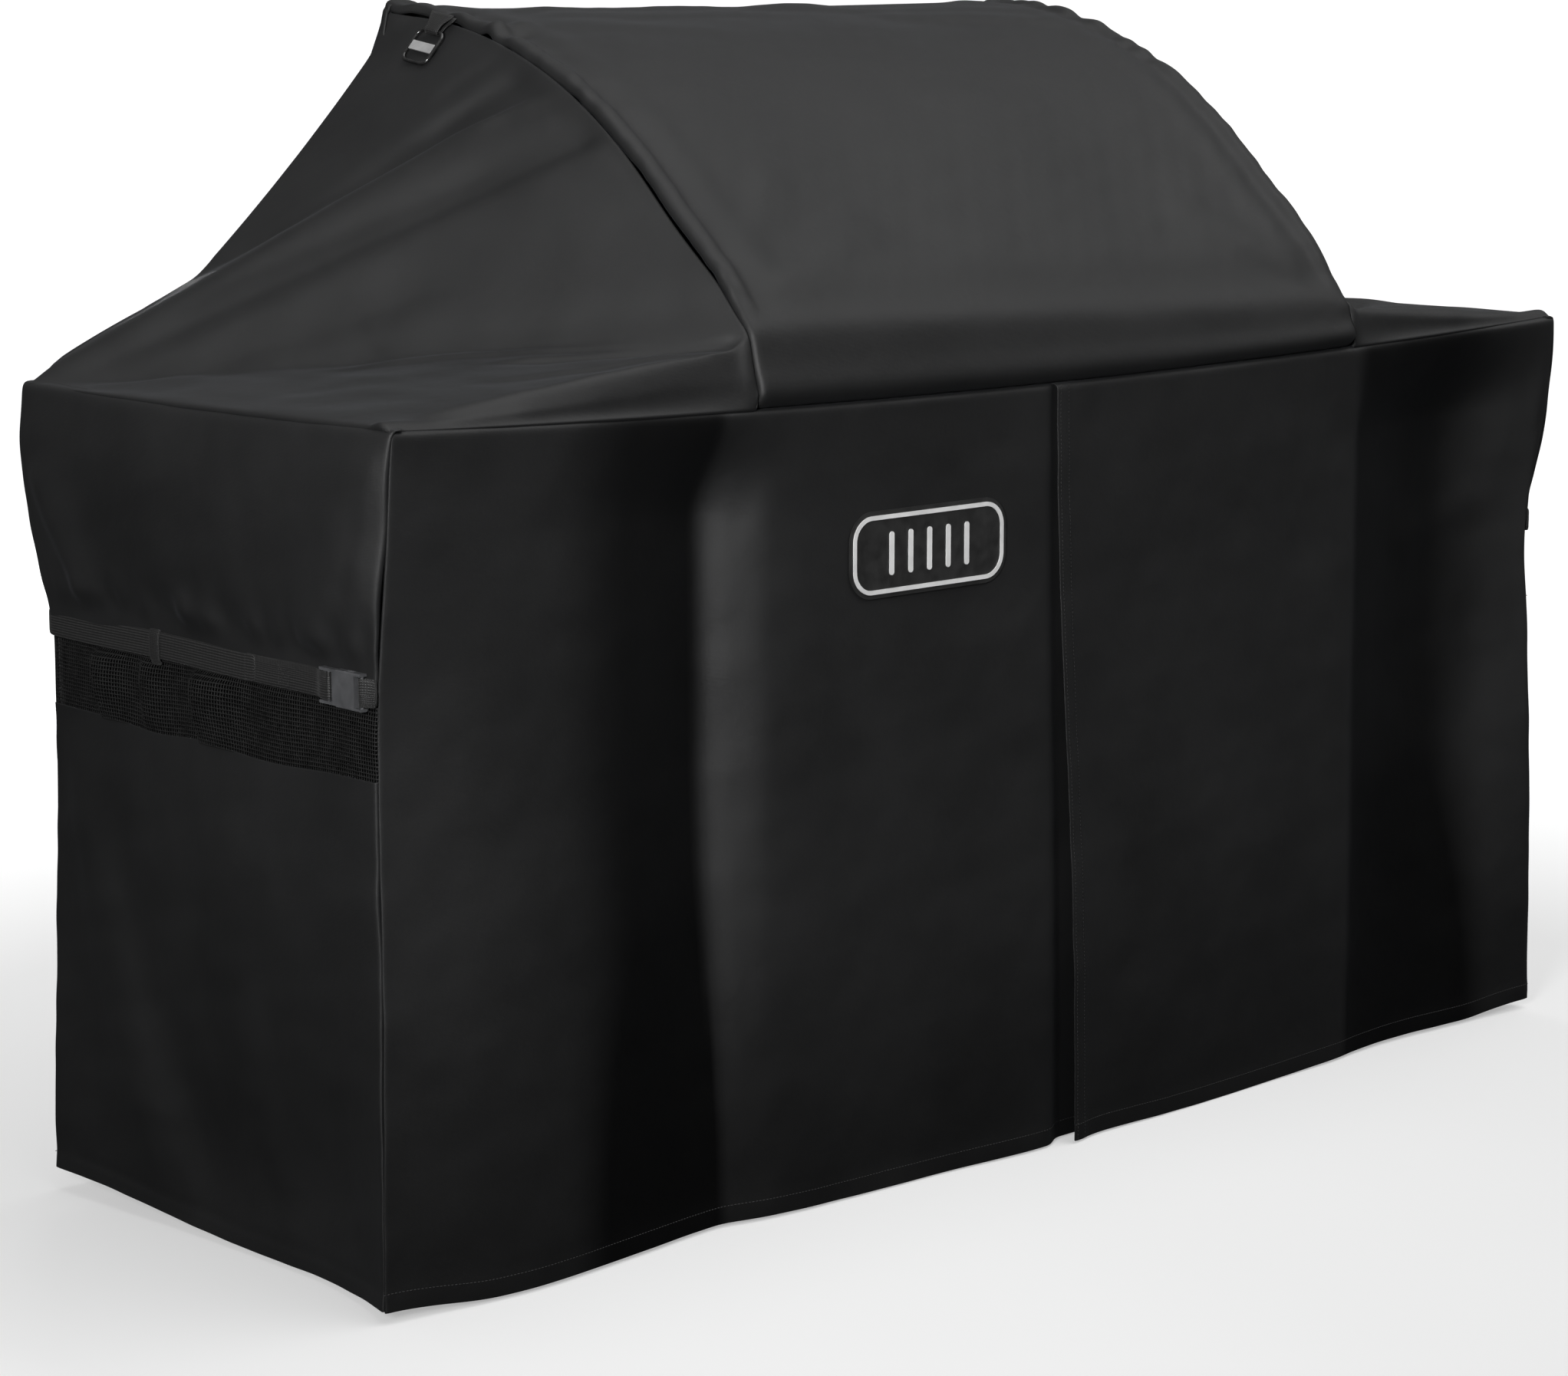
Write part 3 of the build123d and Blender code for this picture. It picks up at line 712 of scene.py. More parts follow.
def rear_z(x):
    """Top edge of the back panel."""
    left_x, left_z = rear_outline(LEFT)
    right_x, right_z = rear_outline(RIGHT)
    xs = np.concatenate([left_x[::-1], right_x])
    zs = np.concatenate([left_z[::-1], right_z])
    between = (x > left_x[0]) & (x < right_x[0])
    return np.where(between, ridge_z(x), np.interp(x, xs, zs))


def hood_section(step, coarse=COARSE):
    """(y, z) up the fascia, the slope and the crown, at even steps."""
    inner_back = BACK_Y - 0.0015
    run = (RIDGE_Z - FASCIA_TOP) / math.tan(SLOPE_ANGLE)
    tangent = inner_back - (FRONT_Y + run)
    radius = tangent / math.tan(SLOPE_ANGLE / 2)
    turn = np.linspace(SLOPE_ANGLE, 0, 300)
    y = [FRONT_Y, FRONT_Y, *(inner_back - radius * np.sin(turn)), BACK_Y]
    z = [SHELF_Z - 0.007, FASCIA_TOP, *(RIDGE_Z - radius * (1 - np.cos(turn))), RIDGE_Z]
    line = spaced(np.stack([np.zeros(len(y)), y, z], axis=1), 0.002)
    wide = int(CREASE_ROUND / 0.002)
    for _ in range(wide * wide):
        line[1:-1] = (line[:-2] + 2 * line[1:-1] + line[2:]) / 4
    run = run_along(line)
    places = stations(run[-1], step, coarse)
    y = np.interp(places, run, line[:, 1])
    z = np.interp(places, run, line[:, 2])
    return places, y, z


def crease_shift(x):
    """The fascia's crease stands higher on the left than on the right."""
    return mix(0.016, -0.006, ramp(x, HOOD_X[LEFT], HOOD_X[RIGHT]))


def lid_base(x, places, y, z):
    """The lid before its edges are rolled. x is a column, the section is a row."""
    x = x[:, None] + 0 * places[None, :]
    low = 1 - smooth(places / 0.06)
    middle = smooth(places / 0.072) * (1 - smooth((places - 0.08) / 0.20))
    lift = (front_seam_z(x) - (SHELF_Z - 0.007)) * low + crease_shift(x) * middle
    to_rear = ramp(places / places[-1], 0.90, 1.0)
    sag = RIDGE_SAG * np.sin(np.pi * (x - HOOD_X[LEFT]) / (HOOD_X[RIGHT] - HOOD_X[LEFT]))
    sag = sag * ramp(y, FRONT_Y + 0.5 * DEPTH, BACK_Y)
    belly = -0.006 * np.exp(-(((places - 0.016) / 0.012) ** 2))
    lean = FASCIA_LEAN * ramp(places, 0.012, 0.072) * (1 - ramp(places, 0.085, 0.17))
    y = y + (belly + lean) * smooth(places / 0.012)
    share = (x - HOOD_X[LEFT]) / (HOOD_X[RIGHT] - HOOD_X[LEFT])
    splay = mix(-CORNER_SPLAY[LEFT], CORNER_SPLAY[RIGHT], share) * to_rear
    lift = lift + CORNER_LIFT * to_rear * (1 - ramp(share, 0.0, 0.12))
    return np.stack([x + splay, y + 0 * x, z + lift - sag], axis=2)


# ------------------------------------------------------------------ front
def fold_recess(x, z):
    """How far the slack folds recede, from 0 to about 1, at a place on the front."""
    below = smooth((front_seam_z(x) - z) / 0.12)
    strength = below * (1.0 - 0.75 * ramp(z, 0.55, 0.0))
    return through(x, FOLD_LEFT) * strength, 1.1 * through(x, FOLD_RIGHT) * strength


def front_y(x, z):
    """The front's surface, before its seams are rolled."""
    top = front_seam_z(x)
    y = FRONT_Y + FOLD_DEEP * sum(fold_recess(x, z))
    for side in (LEFT, RIGHT):
        _, inwards = corner(FRONT_CORNER, side, z)
        from_corner = np.abs(side * END_X - x)
        y = y + inwards * np.exp(-((from_corner / 0.13) ** 1.5))
    drop = 1 - z / top
    billow = 0.020 * smooth(drop * 1.2) * np.exp(-(((x - 0.12) / 0.34) ** 2))
    billow += 0.018 * smooth(drop) * np.exp(-(((x + 0.78) / 0.15) ** 2))
    billow += 0.012 * smooth(drop) * np.exp(-(((x - 0.86) / 0.10) ** 2))
    tension = folds(x, z, FRONT_FOLDS)
    uneven = 0.0016 * waver(x * 1.6, z * 0.45, 3, 0.30) + 0.0006 * waver(x, z, 5, 0.09)
    beside = np.maximum(np.maximum(BADGE_LOW.x - x, x - BADGE_HIGH.x), 0)
    above = np.maximum(np.maximum(BADGE_LOW.z - z, z - BADGE_HIGH.z), 0)
    calm = smooth((np.hypot(beside, above) - 0.004) / 0.07)
    return y - (billow + tension + uneven) * calm


def painted_front_shade(x, z):
    """Painted shade on the front, from 0 to 1: the recesses of the slack folds beside the hood and the
    cloth towards the hem are darkened.
    """
    beside_left = ramp(x, -0.74, -0.60) * ramp(x, -0.478, -0.500)
    beside_right = ramp(x, 0.572, 0.606) * ramp(x, 0.90, 0.78)
    low = 0.45 * ramp(z, 0.42, 0.02)
    return np.clip(np.maximum(beside_left, beside_right) * (0.8 + 0.3 * ramp(z, 0.6, 0.1)) + low, 0, 1)


def hem_z(x):
    """The front hem is drawn up at the corners and not quite level between them."""
    share = np.abs(x / END_X)
    drawn = HEM_LIFT * (0.25 * share**2 + 0.75 * ramp(share, 0.86, 1.0))
    return 0.003 + drawn + 0.0015 * waver(x, 0 * x, 11, 0.35)


def front_panel(side):
    rows_z = stations(1.0, 0.0025, 0.0105)
    if side == LEFT:
        width = END_X + PLACKET_FOOT + PLACKET_LAP
    else:
        width = END_X - PLACKET_TOP
    columns = stations(width, FINE, 0.0085) / width
    u, v = np.meshgrid(columns, rows_z, indexing="ij")
    height = v * SHELF_Z
    edge = mix(PLACKET_FOOT, PLACKET_TOP, smooth(height / SHELF_Z))
    inwards, _ = corner(FRONT_CORNER, side, height)
    outer = side * (END_X - inwards)
    if side == LEFT:
        x = mix(outer, edge + PLACKET_LAP, u)
    else:
        x = mix(edge, outer, u)
    z = mix(hem_z(x), front_seam_z(x), v)
    y = front_y(x, z)
    slack = 1 - smooth(z / SHELF_Z)
    if side == LEFT:
        deep = mix(0.0045, 0.017, slack)
        y = y + deep * ramp(x, edge - 0.010 - 0.028 * slack, edge - 0.001)
    else:
        near = np.exp(-(((x - edge) / 0.05) ** 2))
        y = y - 0.004 * near - 0.006 * slack * near
        step = ramp(x, edge + PLACKET_BAND - 0.002, edge + PLACKET_BAND + 0.002)
        y = y + 0.0018 * step * np.exp(-(((x - edge) / 0.06) ** 2))
    hem_line = np.exp(-(((z - hem_z(x) - HEM_UP) / HEM_RIDGE) ** 2))
    y = y + 0.0011 * hem_line + 0.0009 * ramp(z, hem_z(x) + HEM_UP, hem_z(x) + HEM_UP + 0.004)
    points = np.stack([x, y, z], axis=2)
    normals = normals_of(points)
    hem_run = np.argmin(np.abs(points[0, :, 2] - points[0, 0, 2] - HEM_UP))
    lines = [(points[:, hem_run], normals[:, hem_run])]
    if side == RIGHT:
        column = np.argmin(np.abs(points[:, 0, 0] - points[0, 0, 0] - PLACKET_BAND))
        lines.append((points[column], normals[column]))
        lines.append((points[2], normals[2]))
    away = "start" if side == LEFT else "end"
    seams = {
        away: (-side * CORNER_DEEP, CORNER_DEEP, 0),
        "high": (0, SEAM_DEEP * 1.25, 0),
    }
    points = tuck(points, seams)
    name = f"front_cloth_{WORD[side]}"
    piece = grid_object(name, points, FABRIC)
    # The slack attribute holds painted shade for the front: darker in the recesses of the slack folds
    # and towards the hem.
    shade = painted_front_shade(points[..., 0], points[..., 2])
    piece.data.attributes.new("slack", "FLOAT", "POINT").data.foreach_set("value", shade.ravel())
    finish_cloth(piece)
    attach(piece, "cover")
    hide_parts(f"front_panel_{WORD[side]}")
    if side == RIGHT:
        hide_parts("front_placket_facing")
    stitches = stitching(f"front_stitches_{WORD[side]}", lines, THREAD)
    return piece


# ------------------------------------------------------------------ ends
def end_surface(side, y, z):
    """Outer surface of an end, between its two corner seams."""
    share = (y - FRONT_Y) / DEPTH
    near, _ = corner(FRONT_CORNER, side, z)
    far, _ = corner(BACK_CORNER, side, z)
    inwards = mix(near, far, share)
    above = np.clip((z - STRAP_Z - 0.025) / (SHELF_Z - STRAP_Z - 0.025), 0, 1)
    puff = 0.013 * np.sin(np.pi * above) ** 0.8 * np.sin(np.pi * np.clip(share, 0, 1)) ** 0.6
    drop = np.clip(1 - z / VENT_LOW, 0, 1)
    belly = 0.010 * np.sin(np.pi * np.clip(drop * 1.25, 0, 1)) * np.sin(np.pi * share)
    near_front = np.clip(share, 0, 1) ** 0.62
    tuck_in = 0.036 * smooth(drop * 1.15) ** 1.5 * np.sin(np.pi * near_front) ** 1.6
    out = puff + belly - tuck_in
    gather = np.exp(-(((z - STRAP_Z - 0.042) / 0.026) ** 2)) * (z > STRAP_Z)
    out = out + 0.0055 * gather * waver(y, 0.25 * z, 21 + side, 0.060)
    above_strap = ramp(z, STRAP_Z + 0.014, STRAP_Z + 0.050)
    below = 1 - ramp(z, VENT_LOW - 0.05, VENT_LOW)
    pulls = folds(y, z, END_FOLDS_HIGH) * above_strap + folds(y, z, END_FOLDS_LOW) * below
    uneven = 0.0022 * waver(y, z * 0.7, 31 + side, 0.22) + 0.0008 * waver(y, z, 37, 0.07)
    strapped = ramp(np.abs(z - STRAP_Z), WEB_WIDE / 2 + 0.002, WEB_WIDE / 2 + 0.030)
    return side * (END_X - inwards + (out + pulls + uneven) * strapped)


def end_edges(side, z):
    """Y of the front and back corner seams at a height."""
    _, near = corner(FRONT_CORNER, side, z)
    _, far = corner(BACK_CORNER, side, z)
    return FRONT_Y + near, BACK_Y - far


def end_grid(side, low, high, rows, columns, surface=end_surface):
    """A grid between the corner seams. low and high give heights from the place across."""
    v, u = np.meshgrid(rows, columns, indexing="ij")
    z = mix(low(u), high(u), v)
    first, last = end_edges(side, z)
    y = mix(first, last, u)
    return np.stack([surface(side, y, z), y, z], axis=2)


def vent_surface(side, y, z):
    """The net between strap and lower panel hangs in soft upright folds."""
    x = end_surface(side, y, z)
    share = np.sin(np.pi * np.clip((z - VENT_LOW) / (STRAP_Z - VENT_LOW), 0, 1))
    strap_low = STRAP_Z - WEB_WIDE / 2
    wave = folds(y, z, NET_PLEATS) * (0.5 + 0.5 * share) * ramp(z, strap_low, strap_low - 0.012)
    return x + side * (wave - 0.0018)


def end_lower_edge(u):
    """Top edge of the lower panel dips between the folds of the net."""
    first = 0.007 * np.exp(-(((u - 0.30) / 0.15) ** 2))
    second = 0.005 * np.exp(-(((u - 0.65) / 0.08) ** 2))
    return VENT_LOW - (first + second) * np.sin(np.pi * np.clip(u, 0, 1)).clip(0) ** 0.5


def end_pieces(side):
    word = WORD[side]
    inner = -side * CORNER_DEEP
    front_in, back_in = (inner, CORNER_DEEP, 0), (inner, -CORNER_DEEP, 0)
    across = stations(DEPTH, FINE, 0.0085) / DEPTH

    # upper panel
    height = SHELF_Z - STRAP_Z
    up = stations(height, 0.0025, 0.0085) / height
    points = end_grid(side, lambda u: STRAP_Z + 0 * u,
                      lambda u: end_seam_z(FRONT_Y + DEPTH * u), up, across)
    seams = {"low": front_in, "high": back_in, "end": (-side * SEAM_DEEP * 1.2, 0, 0)}
    upper = grid_object(f"{word}_end_cloth_upper", tuck(points, seams), FABRIC,
                        mirrored=side == LEFT)
    finish_cloth(upper)
    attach(upper, "cover")
    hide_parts(f"{word}_end_upper")

    # lower panel
    up = stations(VENT_LOW, 0.0025, 0.0095) / VENT_LOW
    hem = lambda u: through(u, END_HEM)
    points = end_grid(side, hem, end_lower_edge, up, across)
    z_up = points[..., 2] - hem(np.linspace(0, 1, len(across)))[None, :]
    normals = normals_of(points) * -side
    points = points - normals * (0.0012 * np.exp(-(((z_up - HEM_UP) / HEM_RIDGE) ** 2)))[..., None]
    row = np.argmin(np.abs(points[:, 0, 2] - points[0, 0, 2] - HEM_UP))
    lines = [(points[row], normals[row]), (points[-4], normals[-4])]
    tack_z = np.linspace(VENT_LOW - 0.004, VENT_LOW - 0.044, 12)
    tack_y = FRONT_Y + 0.024 + 0.0022 * np.where(np.arange(12) % 2, 1, -1)
    tack = np.stack([end_surface(side, tack_y, tack_z) + side * 0.0006, tack_y, tack_z], axis=1)
    lines.append((tack, np.tile([side, 0.0, 0.0], (12, 1))))
    seams = {"low": front_in, "high": back_in}
    lower = grid_object(f"{word}_end_cloth_lower", tuck(points, seams), FABRIC,
                        mirrored=side == LEFT)
    finish_cloth(lower)
    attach(lower, "cover")
    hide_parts(f"{word}_end_lower")
    stitches = stitching(f"{word}_end_stitches", lines, THREAD)

    # net: wires from a grid with every second cell left out
    tall = STRAP_Z - VENT_LOW
    cells_up, cells_across = round(tall / MESH_PITCH), round(DEPTH / MESH_PITCH)

    def wire_places(cells):
        start = np.arange(cells + 1) / cells
        half = MESH_WIRE / MESH_PITCH / cells / 2
        return np.sort(np.concatenate([start - half, start + half]))

    overlap = 0.001
    points = end_grid(side, lambda u: end_lower_edge(u) - overlap, lambda u: STRAP_Z + overlap + 0 * u,
                      wire_places(cells_up), wire_places(cells_across), vent_surface)
    points = tuck(points, {"low": front_in, "high": back_in}, allowance=0)
    net = grid_object(f"{word}_vent_net", points, VENT,
                      skip=lambda i, j: i % 2 == 1 and j % 2 == 1, mirrored=side == LEFT)
    thick = net.modifiers.new("thickness", "SOLIDIFY")
    thick.thickness = 0.0007
    thick.offset = 0
    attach(net, "cover")
    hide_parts(f"{word}_vent_mesh")
    # the wires, with their sides, have about three quarters of the flat net's area
    return upper, lower, net


# ------------------------------------------------------------------ back
def back_cloth():
    width = 2 * END_X
    across = stations(width, FINE, 0.013) / width
    up = stations(1.0, 0.0022, 0.0125)
    u, v = np.meshgrid(across, up, indexing="ij")
    guess = mix(-END_X, END_X, u)
    height = v * rear_z(guess)
    left_in, _ = corner(BACK_CORNER, LEFT, np.minimum(height, SHELF_Z))
    right_in, _ = corner(BACK_CORNER, RIGHT, np.minimum(height, SHELF_Z))
    x = mix(-END_X + left_in, END_X - right_in, u)
    x = mix(guess, x, np.clip((SHELF_Z + 0.08 - height) / 0.08, 0, 1))
    x = mix(x, guess * (END_X + 0.0095) / END_X, smooth((v - 0.9) / 0.1))
    z = mix(0.006 + 0.022 * np.abs(x / END_X) ** 3, rear_z(x), v)
    y = BACK_Y + 0 * x
    for side in (LEFT, RIGHT):
        _, far = corner(BACK_CORNER, side, z)
        y = y - far * np.exp(-((np.abs(side * END_X - x) / 0.14) ** 1.5))
    drop = np.clip(1 - z / SHELF_Z, 0, 1)
    hang = 0.012 * smooth(drop) * np.sin(x * 7.5 + 0.6) * (1 - np.abs(x / END_X) ** 4)
    for place, tall in ((-0.44, 0.009), (0.56, 0.008), (-0.16, 0.004), (0.24, 0.004)):
        hang += fold(x, z, (place, 1.05), (place * 1.04, -0.1), tall, 0.05, 0.035)
    y = y + hang + 0.0018 * waver(x, z * 0.5, 51, 0.3) * np.minimum(1, (rear_z(x) - z) / 0.05)
    points = np.stack([x, y, z], axis=2)
    normals = normals_of(points) * -1
    row = np.argmin(np.abs(points[len(across) // 2, :, 2] - 0.006 - HEM_UP))
    points[..., 1] -= 0.0012 * np.exp(-(((z - z[:, :1] - HEM_UP) / HEM_RIDGE) ** 2))
    lines = [(points[:, row], normals[:, row])]
    seams = {"start": (CORNER_DEEP, -CORNER_DEEP, 0), "end": (-CORNER_DEEP, -CORNER_DEEP, 0),
             "high": (0, -SEAM_DEEP, -0.002)}
    piece = grid_object("back_cloth", tuck(points, seams), FABRIC, mirrored=True)
    finish_cloth(piece, finer=False)
    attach(piece, "cover")
    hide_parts("back_panel")
    stitches = stitching("back_stitches", lines, THREAD)
    return piece


# ------------------------------------------------------------------ lid
def lid_cloth():
    places, y, z = hood_section(0.004)
    left, right = HOOD_X[LEFT], HOOD_X[RIGHT]
    across = left + stations(right - left, FINE, 0.0085)
    points = lid_base(across, places, y, z)
    normals = normals_of(points)
    x = points[..., 0]
    s = np.broadcast_to(places[None, :], x.shape)
    total = places[-1]
    from_edge = np.minimum(x - left, right - x)
    crest = 0.0042 * (1 - ramp(from_edge, 0.018, 0.027)) * ramp(s, 0.075, 0.12)
    dip = -0.0018 * np.exp(-(((from_edge - 0.036) / 0.012) ** 2)) * ramp(s, 0.10, 0.20)
    dip += 0.0024 * np.exp(-(((from_edge - 0.068) / 0.022) ** 2)) * ramp(s, 0.10, 0.20)
    pleat = fold(x, s, (left - 0.030, 0.646), (left + 0.085, 0.670), 0.0065, 0.006, 0.014)
    shape = crest + dip + pleat
    rear = total - s
    for start, end, tall, wide in (
        ((-0.42, 0.085), (0.30, 0.055), 0.0050, 0.012),
        ((-0.36, 0.120), (0.10, 0.110), 0.0040, 0.014),
        ((0.05, 0.060), (0.55, 0.150), 0.0045, 0.016),
        ((0.18, 0.120), (0.56, 0.215), 0.0040, 0.018),
        ((-0.40, 0.165), (-0.05, 0.205), 0.0030, 0.016),
    ):
        shape = shape + fold(x, rear, start, end, tall, wide, wide * 2.2)
    shape = shape + folds(x, s, (
        ((left + 0.03, 0.10), (left + 0.30, 0.26), 0.0045, 0.020, 0.045),
        ((left + 0.02, 0.16), (left + 0.20, 0.34), 0.0035, 0.016, 0.040),
        ((right - 0.04, 0.09), (right - 0.24, 0.25), 0.004, 0.025, 0.045),
    ))
    puckers = np.exp(-((from_edge / 0.045) ** 2)) * ramp(s, total * 0.45, total * 0.70)
    shape = shape + 0.0038 * puckers * waver(s, x * 0.4, 61, 0.034)
    shape = shape + 0.0012 * np.exp(-((from_edge / 0.03) ** 2)) * waver(s, x * 0.3, 69, 0.022)
    fascia = np.sin(np.pi * np.clip(s / 0.072, 0, 1))
    shape = shape + 0.0035 * fascia * (0.6 + 0.4 * waver(x, s, 63, 0.25))
    slope = ramp(s, 0.10, 0.20) * ramp(rear, 0.0, 0.06)
    shape = shape + slope * (0.0030 * waver(x, s, 65, 0.34) + 0.0007 * waver(x, s, 67, 0.06))
    points = points + normals * shape[..., None]
    edge_in = SEAM_DEEP * 1.3
    lead = np.linalg.norm(normals[0], axis=1)[:, None]
    inside = -normals[len(across) // 2] * edge_in / lead
    points = tuck(points, {"low": (0, SEAM_DEEP * 1.25, 0), "high": (0, -SEAM_DEEP, -SEAM_DEEP * 0.4)})
    pad = np.concatenate([inside[:1], inside, inside[-1:]])
    points = roll_ends(points, pad)
    piece = grid_object("lid_cloth", points, FABRIC)
    finish_cloth(piece)
    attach(piece, "cover")
    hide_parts("lid_panel")
    return piece


def roll_ends(points, inside, wide=0.013):
    """Rolls the lid's two side edges down to the gusset seams."""
    run = lengths(points, 0)
    for flip in (False, True):
        distance = run[-1:, :] - run if flip else run
        weight = 1 - np.sqrt(1 - (1 - np.clip(distance / wide, 0, 1)) ** 2)
        points = points + weight[..., None] * inside[None, :, :]
    first = points[:1] + inside[None]
    last = points[-1:] + inside[None]
    return np.concatenate([first, points, last], axis=0)


# ------------------------------------------------------------------ gussets over the shelves
def facet_heights(x, y, corners, triangles):
    """Heights of a folded sheet of flat triangles, read at x and y."""
    z = np.full(x.shape, np.nan)
    for a, b, c in triangles:
        pa, pb, pc = corners[a], corners[b], corners[c]
        d = (pb[1] - pc[1]) * (pa[0] - pc[0]) + (pc[0] - pb[0]) * (pa[1] - pc[1])
        if abs(d) < 1e-12:
            continue
        wa = ((pb[1] - pc[1]) * (x - pc[0]) + (pc[0] - pb[0]) * (y - pc[1])) / d
        wb = ((pc[1] - pa[1]) * (x - pc[0]) + (pa[0] - pc[0]) * (y - pc[1])) / d
        wc = 1 - wa - wb
        inside = (wa > -1e-6) & (wb > -1e-6) & (wc > -1e-6) & np.isnan(z)
        z[inside] = (wa * pa[2] + wb * pb[2] + wc * pc[2])[inside]
    return z


def gusset_cloth(side):
    hood_x = HOOD_X[side]
    places, section_y, section_z = hood_section(0.003, 0.0058)
    seam = lid_base(np.array([hood_x]), places, section_y, section_z)[0]
    tangent = np.gradient(seam, axis=0)
    normal = np.stack([0 * places, -tangent[:, 2], tangent[:, 1]], axis=1)
    normal /= np.linalg.norm(normal, axis=1, keepdims=True)
    seam = seam - normal * SEAM_DEEP * 1.3
    seam[0] = (hood_x, FRONT_Y + SEAM_DEEP * 1.25, front_seam_z(hood_x))
    shelf = abs(side * END_X - hood_x)
    across = stations(shelf, FINE, 0.0050) / shelf

    # rows run from the front seam to the rear outline
    share = places / places[-1]
    spread = share ** 1.05
    outline_x, outline_z = rear_outline(side, 80)
    order = np.argsort(outline_x)
    u, _ = np.meshgrid(across, spread, indexing="ij")
    top_front_in, top_front_y = corner(FRONT_CORNER, side, SHELF_Z)
    top_back_in, top_back_y = corner(BACK_CORNER, side, SHELF_Z)
    end_y = mix(FRONT_Y + top_front_y, BACK_Y - top_back_y, spread)
    end_x = side * (END_X - mix(top_front_in, top_back_in, spread))
    x = mix(seam[:, 0][None, :], end_x[None, :], u)
    y = mix(seam[:, 1][None, :], end_y[None, :], u ** 0.9)

    # flat facets between the seams, with the folds of the CAD panel
    nose = 0.052
    nose_row = int(np.argmin(np.abs(places - nose)))
    crown = sorted({*range(nose_row, len(places), 9), len(places) - 1})
    corners = {("crown", k): tuple(seam[k]) for k in crown}
    corners[("crown", nose_row)] = (hood_x, FRONT_Y, seam[nose_row][2] + 0.006)
    corners["front"] = (end_x[0], FRONT_Y + top_front_y, SHELF_Z + 0.010)
    corners["back"] = (end_x[-1], BACK_Y - top_back_y, SHELF_Z + 0.004)
    fold_x, _ = rear_fold(side)
    rear_count = 8
    for k in range(rear_count):
        rx = mix(fold_x, hood_x, k / rear_count)
        corners[("rear", k)] = (rx, BACK_Y + 0.001, np.interp(rx, outline_x[order], outline_z[order]))
    ridge_share = 0.60
    lead = min(crown, key=lambda k: abs(share[k] - ridge_share))
    lead_index = crown.index(lead)
    triangles = [("front", "back", ("crown", nose_row))]
    for k in range(lead_index):
        triangles.append(("back", ("crown", crown[k]), ("crown", crown[k + 1])))
    triangles.append(("back", ("crown", lead), ("rear", 0)))
    rest = crown[lead_index:]
    for k in range(rear_count):
        a = rest[min(int(k * (len(rest) - 1) / rear_count), len(rest) - 1)]
        b = rest[min(int((k + 1) * (len(rest) - 1) / rear_count), len(rest) - 1)]
        upper = ("rear", k + 1) if k + 1 < rear_count else ("crown", rest[-1])
        triangles.append((("crown", a), ("rear", k), upper))
        if a != b and upper != ("crown", b):
            triangles.append((("crown", a), upper, ("crown", b)))
    z = fill_gaps(facet_heights(x, y, corners, triangles))

    # the strip between front seam and shelf edge is turned under
    seam_z = front_seam_z(x)
    rise = 0.009 + 0.040 * (1 - u) ** 1.6
    under = smooth(places / nose)[None, :]
    lip = seam_z + rise
    turned_under = places[None, :] < nose
    z = np.where(turned_under, mix(seam_z, lip, under), z)
    hollow = np.sin(np.pi * np.clip(places / nose, 0, 1))[None, :] * (1 - u) ** 0.7
    front = mix(FRONT_Y, y, np.clip(u, 0, 1) ** 3 * 0.5)
    y = np.where(turned_under, front + 0.016 * hollow * np.sin(np.pi * u) ** 0.5, y)
    z[0] = seam[:, 2]
    y[0] = seam[:, 1]
    z[:, -1] = np.interp(x[:, -1], outline_x[order], outline_z[order])
    y[:, -1] = BACK_Y
    z[-1] = end_seam_z(y[-1])
    z[:, 0] = front_seam_z(x[:, 0])
    z[:, nose_row:] = relax(z[:, nose_row:], 7)
    z = relax(z, 2)
    y = relax(y, 8)

    points = np.stack([x, y, z], axis=2)
    normals = normals_of(points) * -side
    p, q = (x - hood_x) * side, y
    hold = np.minimum(smooth(u / 0.05), smooth((1 - u) / 0.04))
    hold = hold * smooth(places / 0.05)[None, :] * smooth((places[-1] - places) / 0.03)[None, :]
    shape = folds(p, q, TENT_FOLDS)
    slump = 0.005 * np.sin(np.pi * u) * np.exp(-(((q + 0.12) / 0.12) ** 2))
    uneven = 0.0013 * waver(p, q, 71 + side, 0.16) + 0.0006 * waver(p, q, 75, 0.05)
    ring_low, ring_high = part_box(f"{WORD[side]}_hang_ring")
    from_ring = np.linalg.norm(points - np.array((ring_low + ring_high) / 2), axis=2)
    hold = hold * ramp(from_ring, 0.032, 0.055)
    points = points + normals * ((shape - slump + uneven) * hold)[..., None]
    points = tuck(points, {
        "end": (-side * SEAM_DEEP, 0, -SEAM_DEEP * 0.6),
        "low": (0, SEAM_DEEP * 0.6, -0.001),
        "high": (0, -SEAM_DEEP, -0.002),
        "start": (side * 0.0005, 0, -0.003),
    })
    piece = grid_object(f"{WORD[side]}_shelf_cloth", points, FABRIC,
                        mirrored=side == RIGHT)
    finish_cloth(piece)
    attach(piece, "cover")
    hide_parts(f"{WORD[side]}_gusset")
    return piece


def fill_gaps(z):
    """Fills cells that no facet covers from their neighbours."""
    for _ in range(60):
        empty = np.isnan(z)
        if not empty.any():
            break
        padded = np.pad(z, 1, constant_values=np.nan)
        around = np.stack([padded[2:, 1:-1], padded[:-2, 1:-1], padded[1:-1, 2:], padded[1:-1, :-2]])
        known = ~np.isnan(around)
        total = np.where(known, around, 0).sum(axis=0)
        count = known.sum(axis=0)
        z = np.where(empty & (count > 0), total / np.maximum(count, 1), z)
    return z


